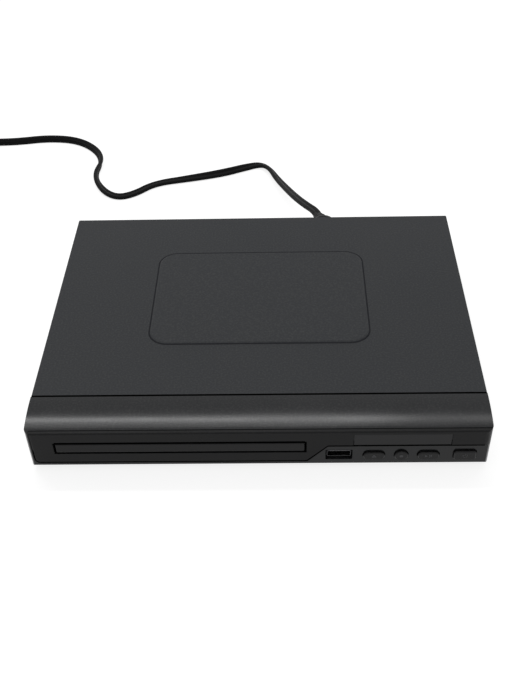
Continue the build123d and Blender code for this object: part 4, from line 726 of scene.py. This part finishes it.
# The stretch on the floor: offsets and lean. Its height follows from the lean.
lying_stretch = [
    (-42.5, 111.0, 4),
    (-54.5, 105.5, -20),
    (-72.0, 96.5, -38),
    (-98.0, 90.0, -12),
    (-124.5, 84.0, 5),
    (-138.5, 69.0, -4),
    (-151.5, 64.0, -2),
    (-164.0, 74.0, 16),
    (-173.0, 94.5, 82),
    (-169.5, 117.5, 116),
    (-177.0, 136.5, 112),
    (-195.0, 152.5, 90),
    (-220.0, 156.5, 90),
    (-245.0, 151.5, 90),
    (-269.0, 151.0, 90),
    (-288.0, 148.0, 90),
    (-299.8, 148.0, 90),
]
coil_inner_radius = 25.5 * mm
coil_pitch = 4.8 * mm
coil_layer = 6.6 * mm  # height of the upper layer above the lower one
coil_turns_in = 2.25
coil_turns_out = 2.0
coil_start = Vector((-304.0 * mm, 148.0 * mm))
coil_start_radius = coil_inner_radius + coil_pitch * coil_turns_in
coil_middle = boot_end.xy + coil_start - Vector((0.0, coil_start_radius))
points_per_turn = 16
plug_tail = 24.0 * mm  # from the coil's last turn to the plug
tail_leans = (80, 42, 8, 0)  # the cord turns flat on that stretch
turning_lift = 0.2 * mm  # a cord that is turning over needs a little more height than its ends


def rest_height(lean):
    """Height of the cord's middle where it lies on the floor at that lean."""
    return core_radius * (1 + abs(math.sin(math.radians(lean))))


def coil_points():
    """The coil's turns: the lower layer winds in and the upper one winds out above it."""
    step = 2 * math.pi / points_per_turn
    inside = 0.75 + 0.25 * math.cos(step)  # a spline through a ring of points runs inside it
    reverse = 2 * math.pi * coil_turns_in
    count = int(round(points_per_turn * (coil_turns_in + coil_turns_out)))
    points = []
    for index in range(count + 1):
        past = index * step - reverse
        radius = (coil_inner_radius + coil_pitch * abs(past) / (2 * math.pi)) / inside
        climb = min(max(past, -math.pi / 2), math.pi / 2)
        height = rest_height(90) + coil_layer * (1 + math.sin(climb)) / 2
        spin = math.pi / 2 + index * step
        x = coil_middle.x + radius * math.cos(spin)
        y = coil_middle.y + radius * math.sin(spin)
        points.append((x, y, height, 90))
    return points


def cord_points():
    """Control points of the whole cord, as (x, y, z, lean) in metres and degrees."""
    points = []
    for across, back, height, lean in hanging_stretch:
        points.append((boot_end.x + across * mm, boot_end.y + back * mm, height * mm, lean))
    for across, back, lean in lying_stretch:
        height = rest_height(lean) + (turning_lift if 10 < abs(lean) < 90 else 0.0)
        points.append((boot_end.x + across * mm, boot_end.y + back * mm, height, lean))
    points += coil_points()
    end = Vector(points[-1][:3])
    plug_height = (plug_box[0].z + plug_box[1].z) / 2
    for number, lean in enumerate(tail_leans, 1):
        share = number / len(tail_leans)
        height = between((end.z, plug_height), share)
        points.append((end.x, end.y - plug_tail * share, height, lean))
    return points


def cord_section():
    """Outline of the flat cord: two round cores side by side with a thin web between them."""
    steps = 14
    web_angle = math.pi - math.asin(web_half / core_radius)
    half = []
    for step in range(steps + 1):
        angle = web_angle * (1 - 2 * step / steps)
        half.append((core_radius * (1 + math.cos(angle)), core_radius * math.sin(angle)))
    outline = half + [(-x, -y) for x, y in half]
    curve = bpy.data.curves.new("cord_section", "CURVE")
    curve.dimensions = "2D"
    spline = curve.splines.new("POLY")
    spline.points.add(len(outline) - 1)
    for point, (x, y) in zip(spline.points, outline):
        point.co = (x, y, 0.0, 1.0)
    spline.use_cyclic_u = True
    section = bpy.data.objects.new("cord_section", curve)
    scene.collection.objects.link(section)
    return section


def make_cord():
    """Flat cord along its route, and the points of its centreline."""
    curve = bpy.data.curves.new("cord_route", "CURVE")
    curve.dimensions = "3D"
    curve.twist_mode = "Z_UP"
    curve.resolution_u = 8
    spline = curve.splines.new("NURBS")
    points = cord_points()
    spline.points.add(len(points) - 1)
    for point, (x, y, z, lean) in zip(spline.points, points):
        point.co = (x, y, z, 1.0)
        point.tilt = math.radians(lean)
    spline.order_u = 3
    spline.use_endpoint_u = True
    route = bpy.data.objects.new("cord_route", curve)
    scene.collection.objects.link(route)
    line = bpy.data.meshes.new_from_object(route)
    centreline = [tuple(vertex.co) for vertex in line.vertices]
    section = cord_section()
    curve.bevel_mode = "OBJECT"
    curve.bevel_object = section
    curve.use_fill_caps = True
    bpy.context.view_layer.update()
    depsgraph = bpy.context.evaluated_depsgraph_get()
    mesh = bpy.data.meshes.new_from_object(route.evaluated_get(depsgraph))
    for helper in (route, section):
        bpy.data.objects.remove(helper)
    bpy.data.meshes.remove(line)
    return mesh, centreline


cord_mesh, cord_line = make_cord()
mains_lead = add_piece("flat_mains_lead", cord_mesh, "cord_pvc", "case")
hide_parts("mains_cord", "mains_cord_coil")


# ================================================================ strain relief, plug and coil's tie
rib_depth = 0.9 * mm  # between the ribs that let the cord bend
gland_offset = Vector((3.0 * mm, -18.5 * mm, 1.0 * mm))  # hole in the rear panel, from the boot's end
# Head of the strain relief, in millimetres: distance behind the rear panel, width and height.
relief_head = (
    (-5.6, 12.4, 12.4),
    (0.0, 12.6, 12.6),
    (0.0, 16.0, 15.0),
    (0.6, 17.0, 16.0),
    (2.6, 17.0, 16.0),
    (2.9, 16.2, 15.2),
    (3.5, 16.2, 15.2),
    (3.8, 17.0, 16.0),
    (5.2, 16.8, 15.8),
    (6.2, 15.2, 14.2),
    (6.5, 13.4, 12.4),
)
head_corner = 8.0 * mm
boot_start = 6.5 * mm  # the boot's start and length, behind the rear panel
boot_length = 12.0 * mm
boot_widths = (11.4, 7.0)  # millimetres at its two ends
boot_heights = (9.8, 4.8)
boot_aside = -3.0 * mm  # how far its end follows the cord, across and down
boot_down = -1.0 * mm
boot_corner = 4.0 * mm

neck_length = 13.0 * mm
neck_widths = (7.2, 10.2)  # millimetres at its two ends
neck_heights = (5.0, 8.4)
neck_corner = 2.4 * mm
grip_corner = 4.0 * mm
finger_rib_depth = 0.7 * mm
# Grip of the plug: share of its length from the neck, and width and height in millimetres.
grip_start = ((0.0, 15.0, 10.6), (0.05, 17.0, 11.8), (0.16, 19.4, 13.2))
grip_waist = (18.6, 12.6)
grip_end = (
    (0.62, 18.9, 12.8),
    (0.72, 21.8, 14.6),
    (0.82, 23.6, 15.8),
    (0.86, 24.0, 16.0),
    (0.98, 24.0, 16.0),
    (1.0, 23.2, 15.2),
)

strap_angle = math.radians(-30)  # where the strap goes round the coil's turns
strap_half = 5.0 * mm  # half its width along the turns
strap_wall = 0.8 * mm
strap_corner = 2.5 * mm
strap_lap = -2.5 * mm  # the doubled stretch on top goes outwards from here


def ring_at(middle, width, height, corner):
    """Upright rounded ring about a middle, in metres."""
    return [middle + Vector((x, 0.0, y)) for x, y in rounded_ring(width, height, corner)]


def ribs(start, end, count, depth):
    """Places along a ribbed stretch: pairs of (share of its length, how deep it is cut)."""
    places = []
    for index in range(count):
        for share, cut in ((0.0, 0.0), (0.5, 0.0), (0.6, depth), (0.9, depth)):
            places.append((between((start, end), (index + share) / count), cut))
    return places


def make_strain_relief():
    """Oval head on the rear panel and a ribbed boot that bends down with the cord."""
    gland = boot_end + gland_offset
    rings = []
    for back, width, height in relief_head:
        middle = gland + Vector((0.0, back * mm, 0.0))
        rings.append(ring_at(middle, width * mm, height * mm, head_corner))
    tip = [(0.95, 0.0), (1.0, 0.0), (1.04, 0.8 * mm)]
    for share, cut in ribs(0.0, 0.94, 5, rib_depth) + tip:
        bend = share * share
        middle = gland + Vector(
            (boot_aside * bend, boot_start + boot_length * share, boot_down * bend)
        )
        width = between(boot_widths, share) * mm - cut
        height = between(boot_heights, share) * mm - cut
        rings.append(ring_at(middle, width, height, boot_corner))
    mesh = skin("ribbed_strain_relief", rings)
    piece = add_piece("ribbed_strain_relief", mesh, "plug_pvc", "case")
    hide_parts("strain_relief")
    soften_edges(piece, 0.15 * mm)
    return piece


def make_plug():
    """Moulded plug: ribbed neck, waisted grip with finger ribs, and a flat face for the blades."""
    middle = (plug_box[0] + plug_box[1]) / 2
    back = plug_box[1].y
    rings = []
    for share, cut in ribs(0.04, 0.9, 5, rib_depth) + [(0.92, 0.0), (1.0, 0.0)]:
        place = Vector((middle.x, back - neck_length * share, middle.z))
        width = between(neck_widths, share) * mm - cut
        height = between(neck_heights, share) * mm - cut
        rings.append(ring_at(place, width, height, neck_corner))
    waist = []
    for share, cut in ribs(0.22, 0.6, 6, finger_rib_depth):
        waist.append((share, grip_waist[0] - cut / mm, grip_waist[1] - cut / mm))
    grip_length = back - neck_length - plug_box[0].y
    for share, width, height in (*grip_start, *waist, *grip_end):
        place = Vector((middle.x, back - neck_length - grip_length * share, middle.z))
        rings.append(ring_at(place, width * mm, height * mm, grip_corner))
    piece = add_piece("moulded_plug", skin("moulded_plug", rings), "plug_pvc", "case")
    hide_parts("mains_plug")
    soften_edges(piece, 0.2 * mm)
    return piece


def make_coil_tie():
    """Soft strap round the coil's turns, thicker on top where its end laps over."""
    middle_radius = (coil_inner_radius + coil_start_radius) / 2
    radial = Vector((math.cos(strap_angle), math.sin(strap_angle), 0.0))
    half = Vector((-radial.y, radial.x, 0.0)) * strap_half
    height = coil_layer + cord_width + strap_wall
    width = coil_pitch * coil_turns_in + 2 * core_radius + 2 * strap_wall
    middle = Vector((*coil_middle, height / 2)) + radial * middle_radius
    rings = []
    for x, y in rounded_ring(width, height, strap_corner, 5):
        wall = 2 * strap_wall if y > height * 0.49 and x > strap_lap else strap_wall
        inner = 1 - wall / math.hypot(x, y)
        outside = middle + radial * x + Vector((0, 0, y))
        inside = middle + radial * (x * inner) + Vector((0, 0, y * inner))
        rings.append([outside - half, outside + half, inside + half, inside - half])
    mesh = skin("coil_strap", rings, endless=True)
    piece = add_piece("coil_strap", mesh, "strap_cloth", "case")
    soften_edges(piece, 0.2 * mm)
    return piece


strain_relief = make_strain_relief()
mains_plug = make_plug()
coil_strap = make_coil_tie()


# ================================================================ painted shade in the seam, crease and gaps
front_lean = math.radians(4.0)  # the front's face leans forward
front_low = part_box("front_bezel")[0].z
ahead_of_all = -0.3  # a y in front of everything
line_proud = 0.06 * mm  # the painted shade strips stand this far proud of the face that they lie on

case_half = 125.0 * mm
cover_low = 5.6 * mm
cover_round = 0.9 * mm
seam_width = 0.7 * mm
seam_lap = 0.3 * mm  # the painted shade strip laps over the rounded edges beside the seam
seam_proud = 0.03 * mm  # the painted shade strip stands above the faces beside it
seam_depth = 0.5 * mm

panel_width = 127.0 * mm  # the raised panel's top, its sloping rim and its height
panel_depth = 89.0 * mm
panel_corner = 10.3 * mm
panel_slope = 2.0 * mm
panel_rise = 0.8 * mm
panel_middle = 10.0 * mm
panel_steps = 10
# Where the painted shade line starts and ends, in shares of the rim's slope from its top. The two
# starts are for the front and sides and for the rear, whose slope is seen at a low angle.
crease_starts = (0.5, 0.05)
crease_end = 0.95
crease_proud = 0.03 * mm
crease_depth = 0.2 * mm

# Outline of the fascia: across, and height up the leaning face from the bezel's bottom edge, in
# millimetres.
fascia_left = -122.5
fascia_low = 3.4
fascia_corner = 3.0
corner_middle = (fascia_left + fascia_corner, fascia_low + fascia_corner)
fascia_outline = [
    (fascia_left, 26.6),
    (fascia_left, corner_middle[1]),
    *arc(corner_middle, fascia_corner, (202, 225, 248, 270)),
    (25.6, fascia_low),  # rounded foot of the slanted end
    (26.7, 3.6),
    (27.6, 4.4),
    (37.7, 15.5),
    (121.4, 15.5),
]
fascia_line_inside = 0.8  # the painted shade line's two edges, in from the fascia's edge
fascia_line_outside = 0.05
fascia_rounding = 0.25  # the face is flat from here inwards
fascia_line_depth = 0.3 * mm

# Painted shade strip along the top of the tray door: its ends across, its middle, its low and high
# edges and its depth.
tray_shade_ends = (-109.6 * mm, 25.3 * mm)
tray_shade_middle = -42.0 * mm
tray_shade_low = 22.75 * mm
tray_shade_high = 23.95 * mm
tray_shade_depth = 0.5 * mm

# Ends of the display window in millimetres, each with the way to the window's middle. A strip of
# painted shade lies in the joint at each end.
window_ends = ((51.25, 1, "painted_window_joint_shade_left"), (103.75, -1, "painted_window_joint_shade_right"))
window_low = 15.6
window_high = 24.8
window_rounding = 0.6  # the window's face is flat from here inwards
joint_outside = 0.05  # the joint's two edges, past the window's end and in from it
joint_inside = 0.34
joint_depth = 0.3 * mm


def face_place(names, x, z):
    """Foremost place on the named pieces at x and z."""
    places = []
    for name in names:
        start = Vector((x, ahead_of_all, z))
        hit, place = nodes[name].ray_cast(start, Vector((0.0, 1.0, 0.0)))[:2]
        if hit:
            places.append(place)
    if not places:
        raise RuntimeError("no %s at x %.4f and z %.4f" % (" or ".join(names), x, z))
    return min(places, key=lambda place: place.y)


def height_on_front(height):
    """Height above the floor of a place so many millimetres up the leaning face."""
    return front_low + height * mm * math.cos(front_lean)


def add_painted_shade_piece(name, rings):
    """Black strip of painted shade in a gap or seam of the case's front, as a skin over its rings."""
    add_piece(name, skin(name, rings), "painted_gap_shade", "case")


def make_seam_filler():
    """Black strip of painted shade in the seam between bezel and cover, lapping over the rounded edges
    beside it.
    """
    bezel_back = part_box("front_bezel")[1].y
    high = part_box("front_bezel")[1].z + seam_proud
    half = case_half + seam_proud
    bend = arc((half - cover_round, high - cover_round), cover_round, (0, 30, 60, 90))
    right = [(half, cover_low), *bend]
    front = bezel_back - seam_lap
    back = bezel_back + seam_width + seam_lap
    rings = []
    for x, z in [(-x, z) for x, z in right] + right[::-1]:
        inner_x = x - math.copysign(seam_depth, x)
        inner_z = min(z, high - seam_depth)
        rings.append([(x, front, z), (inner_x, front, inner_z), (inner_x, back, inner_z), (x, back, z)])
    add_painted_shade_piece("painted_seam_shade", rings)


def make_panel_crease():
    """Dull line of painted shade in the pressed crease round the raised panel of the cover."""
    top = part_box("top_cover")[1].z
    wide = 2 * panel_slope
    inner = rounded_ring(panel_width, panel_depth, panel_corner, panel_steps)
    outer = rounded_ring(
        panel_width + wide, panel_depth + wide, panel_corner + panel_slope, panel_steps
    )
    deep = Vector((0.0, 0.0, -crease_depth))
    rings = []
    for near, far in zip(inner, outer):
        rearward = max((far[1] - near[1]) / panel_slope, 0.0)
        places = []
        for share in (between(crease_starts, rearward), crease_end):
            x = between((near[0], far[0]), share)
            y = between((near[1], far[1]), share) + panel_middle
            places.append(Vector((x, y, top - panel_rise * share + crease_proud)))
        rings.append([places[0], places[1], places[1] + deep, places[0] + deep])
    mesh = skin("painted_panel_crease_shade", rings, endless=True)
    add_piece("painted_panel_crease_shade", mesh, "crease_paint", "case")


def outward(points, index):
    """Unit normal of a polyline at one of its points, to its right-hand side."""
    before = Vector(points[max(index - 1, 0)])
    after = Vector(points[min(index + 1, len(points) - 1)])
    way = (after - before).normalized()
    return Vector((way.y, -way.x))


def make_fascia_line():
    """Black line of painted shade along the left side, the lower edge and the slant of the fascia,
    where it meets the bezel.
    """
    proud = Vector((0.0, -line_proud, 0.0))
    sunk = Vector((0.0, fascia_line_depth, 0.0))
    reach = (fascia_rounding - fascia_line_outside) * mm
    rings = []
    for index, (x, height) in enumerate(fascia_outline):
        side = outward(fascia_outline, index)
        places = []
        for inset in (fascia_line_inside, fascia_rounding):
            inset_x = (x - side.x * inset) * mm
            inset_z = height_on_front(height - side.y * inset)
            places.append(face_place(("fascia_panel", "display_window"), inset_x, inset_z))
        inner, edge = places
        edge += Vector((side.x, 0.0, side.y)) * reach
        rings.append([inner + proud, edge + proud, edge + sunk, inner + sunk])
    add_painted_shade_piece("painted_fascia_gap_shade", rings)


def make_tray_gasket():
    """Black strip of painted shade in the gap along the top of the tray door."""
    drop = (tray_shade_high - tray_shade_low) * math.tan(front_lean)
    rings = []
    for x in (tray_shade_ends[0], tray_shade_middle, tray_shade_ends[1]):
        face = face_place(("fascia_panel",), x, tray_shade_high).y
        rings.append(
            [
                (x, face - line_proud, tray_shade_high),
                (x, face + tray_shade_depth, tray_shade_high),
                (x, face + drop + tray_shade_depth, tray_shade_low),
                (x, face + drop - line_proud, tray_shade_low),
            ]
        )
    add_painted_shade_piece("painted_tray_gap_shade", rings)


def make_window_joints():
    """Black strip of painted shade in the joint at each end of the display window."""
    for x, inward, name in window_ends:
        left, right = sorted(
            ((x - inward * joint_outside) * mm, (x + inward * joint_inside) * mm)
        )
        rings = []
        for height in (window_low, (window_low + window_high) / 2, window_high):
            z = height_on_front(height)
            face = face_place(("display_window",), (x + inward * window_rounding) * mm, z).y
            front = face - line_proud
            back = front + joint_depth
            rings.append([(left, front, z), (right, front, z), (right, back, z), (left, back, z)])
        add_painted_shade_piece(name, rings)


make_seam_filler()
make_panel_crease()
make_fascia_line()
make_tray_gasket()
make_window_joints()


# ================================================================ USB socket's lip and springs
# Section of the lip, back and up from the shell's front upper edge, in millimetres.
lip_section = (
    (0.3, 0.0),
    (-1.1, 0.12),
    (-1.28, 0.0),
    (-1.3, -0.5),
    (-1.12, -0.5),
    (-1.05, -0.2),
    (0.3, -0.33),
)
lip_half = 6.1
lip_corner = 0.3  # its last stretch at each side, set back towards the end
lip_set_back = 0.15
# Route of a spring tab, back and down from the same edge, and where the two tabs are.
spring_route = ((4.4, 0.3), (3.0, 0.9), (1.4, 1.9), (0.7, 2.35), (0.4, 2.2))
springs = ((-3.2, "usb_spring_left"), (3.2, "usb_spring_right"))
spring_half_width = 0.75
spring_half_wall = 0.1


def make_usb_lip():
    """Guide lip of the socket's roof, bent down at its front, and two spring tabs behind it."""
    low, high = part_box("usb_shell")
    edge = Vector(((low.x + high.x) / 2, low.y, high.z))
    full = lip_half - lip_corner
    rings = []
    for x, inset in ((-lip_half, lip_set_back), (-full, 0.0), (full, 0.0), (lip_half, lip_set_back)):
        rings.append([edge + Vector((x, y + inset * (y < 0), z)) * mm for y, z in lip_section])
    # The lip takes the darker steel, painted shade of the socket's mouth.
    add_piece("usb_guide_lip", skin("usb_guide_lip", rings), "socket_steel", "case")
    for across, name in springs:
        rings = []
        for back, drop in spring_route:
            left, right = across - spring_half_width, across + spring_half_width
            below, above = -drop - spring_half_wall, -drop + spring_half_wall
            section = ((left, below), (right, below), (right, above), (left, above))
            rings.append([edge + Vector((x, back, z)) * mm for x, z in section])
        add_piece(name, skin(name, rings), "plated_steel", "case")


make_usb_lip()


# ================================================================ marks on the buttons
mark_right = Vector((1.0, 0.0, 0.0))
mark_up = Vector((0.0, -math.sin(front_lean), math.cos(front_lean)))
mark_out = Vector((0.0, -math.cos(front_lean), -math.sin(front_lean)))
mark_height = 0.12 * mm


def bar(left, low, width, height):
    """Rectangle of a mark, from its lower left corner."""
    return [(left, low), (left + width, low), (left + width, low + height), (left, low + height)]


def open_ring(radius, line, gap, steps=20):
    """Ring of the power mark in short pieces, open at the top by gap degrees."""
    pieces = []
    start = math.radians(90 + gap / 2)
    sweep = math.radians(360 - gap)
    outer = radius + line
    for step in range(steps):
        corners = []
        for reach, turn in ((radius, step), (outer, step), (outer, step + 1), (radius, step + 1)):
            angle = start + sweep * turn / steps
            corners.append((reach * math.cos(angle), reach * math.sin(angle)))
        pieces.append(corners)
    return pieces


def add_mark(button, shapes):
    """Raised mark in the middle of a button's cap. Its shapes are outlines in millimetres."""
    low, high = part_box(button)
    place = face_place((button,), (low.x + high.x) / 2, (low.z + high.z) / 2)
    name = button.replace("_button", "_mark")
    mesh = bpy.data.meshes.new(name)
    shape = bmesh.new()
    for outline in shapes:
        ends = []
        for depth in (-mark_height / 2, mark_height):
            end = []
            for x, y in outline:
                corner = place + (mark_right * x + mark_up * y) * mm + mark_out * depth
                end.append(shape.verts.new(corner))
            ends.append(end)
        shape.faces.new(ends[0])
        shape.faces.new(list(reversed(ends[1])))
        for index in range(len(outline)):
            after = (index + 1) % len(outline)
            shape.faces.new((ends[0][index], ends[0][after], ends[1][after], ends[1][index]))
    bmesh.ops.remove_doubles(shape, verts=shape.verts, dist=0.001 * mm)
    bmesh.ops.recalc_face_normals(shape, faces=shape.faces)
    shape.to_mesh(mesh)
    shape.free()
    add_piece(name, mesh, "mark_paint", button)
    for polygon in mesh.polygons:
        polygon.use_smooth = False


add_mark("open_close_button", [[(-1.3, -0.3), (1.3, -0.3), (0.0, 1.2)], bar(-1.3, -1.2, 2.6, 0.5)])
add_mark("stop_button", [bar(-0.9, -0.9, 1.8, 1.8)])
add_mark(
    "play_pause_button",
    [[(-1.9, -1.0), (-0.2, 0.0), (-1.9, 1.0)], bar(0.4, -1.0, 0.5, 2.0), bar(1.3, -1.0, 0.5, 2.0)],
)
add_mark("power_button", open_ring(1.0, 0.35, 70) + [bar(-0.17, 0.1, 0.34, 1.3)])
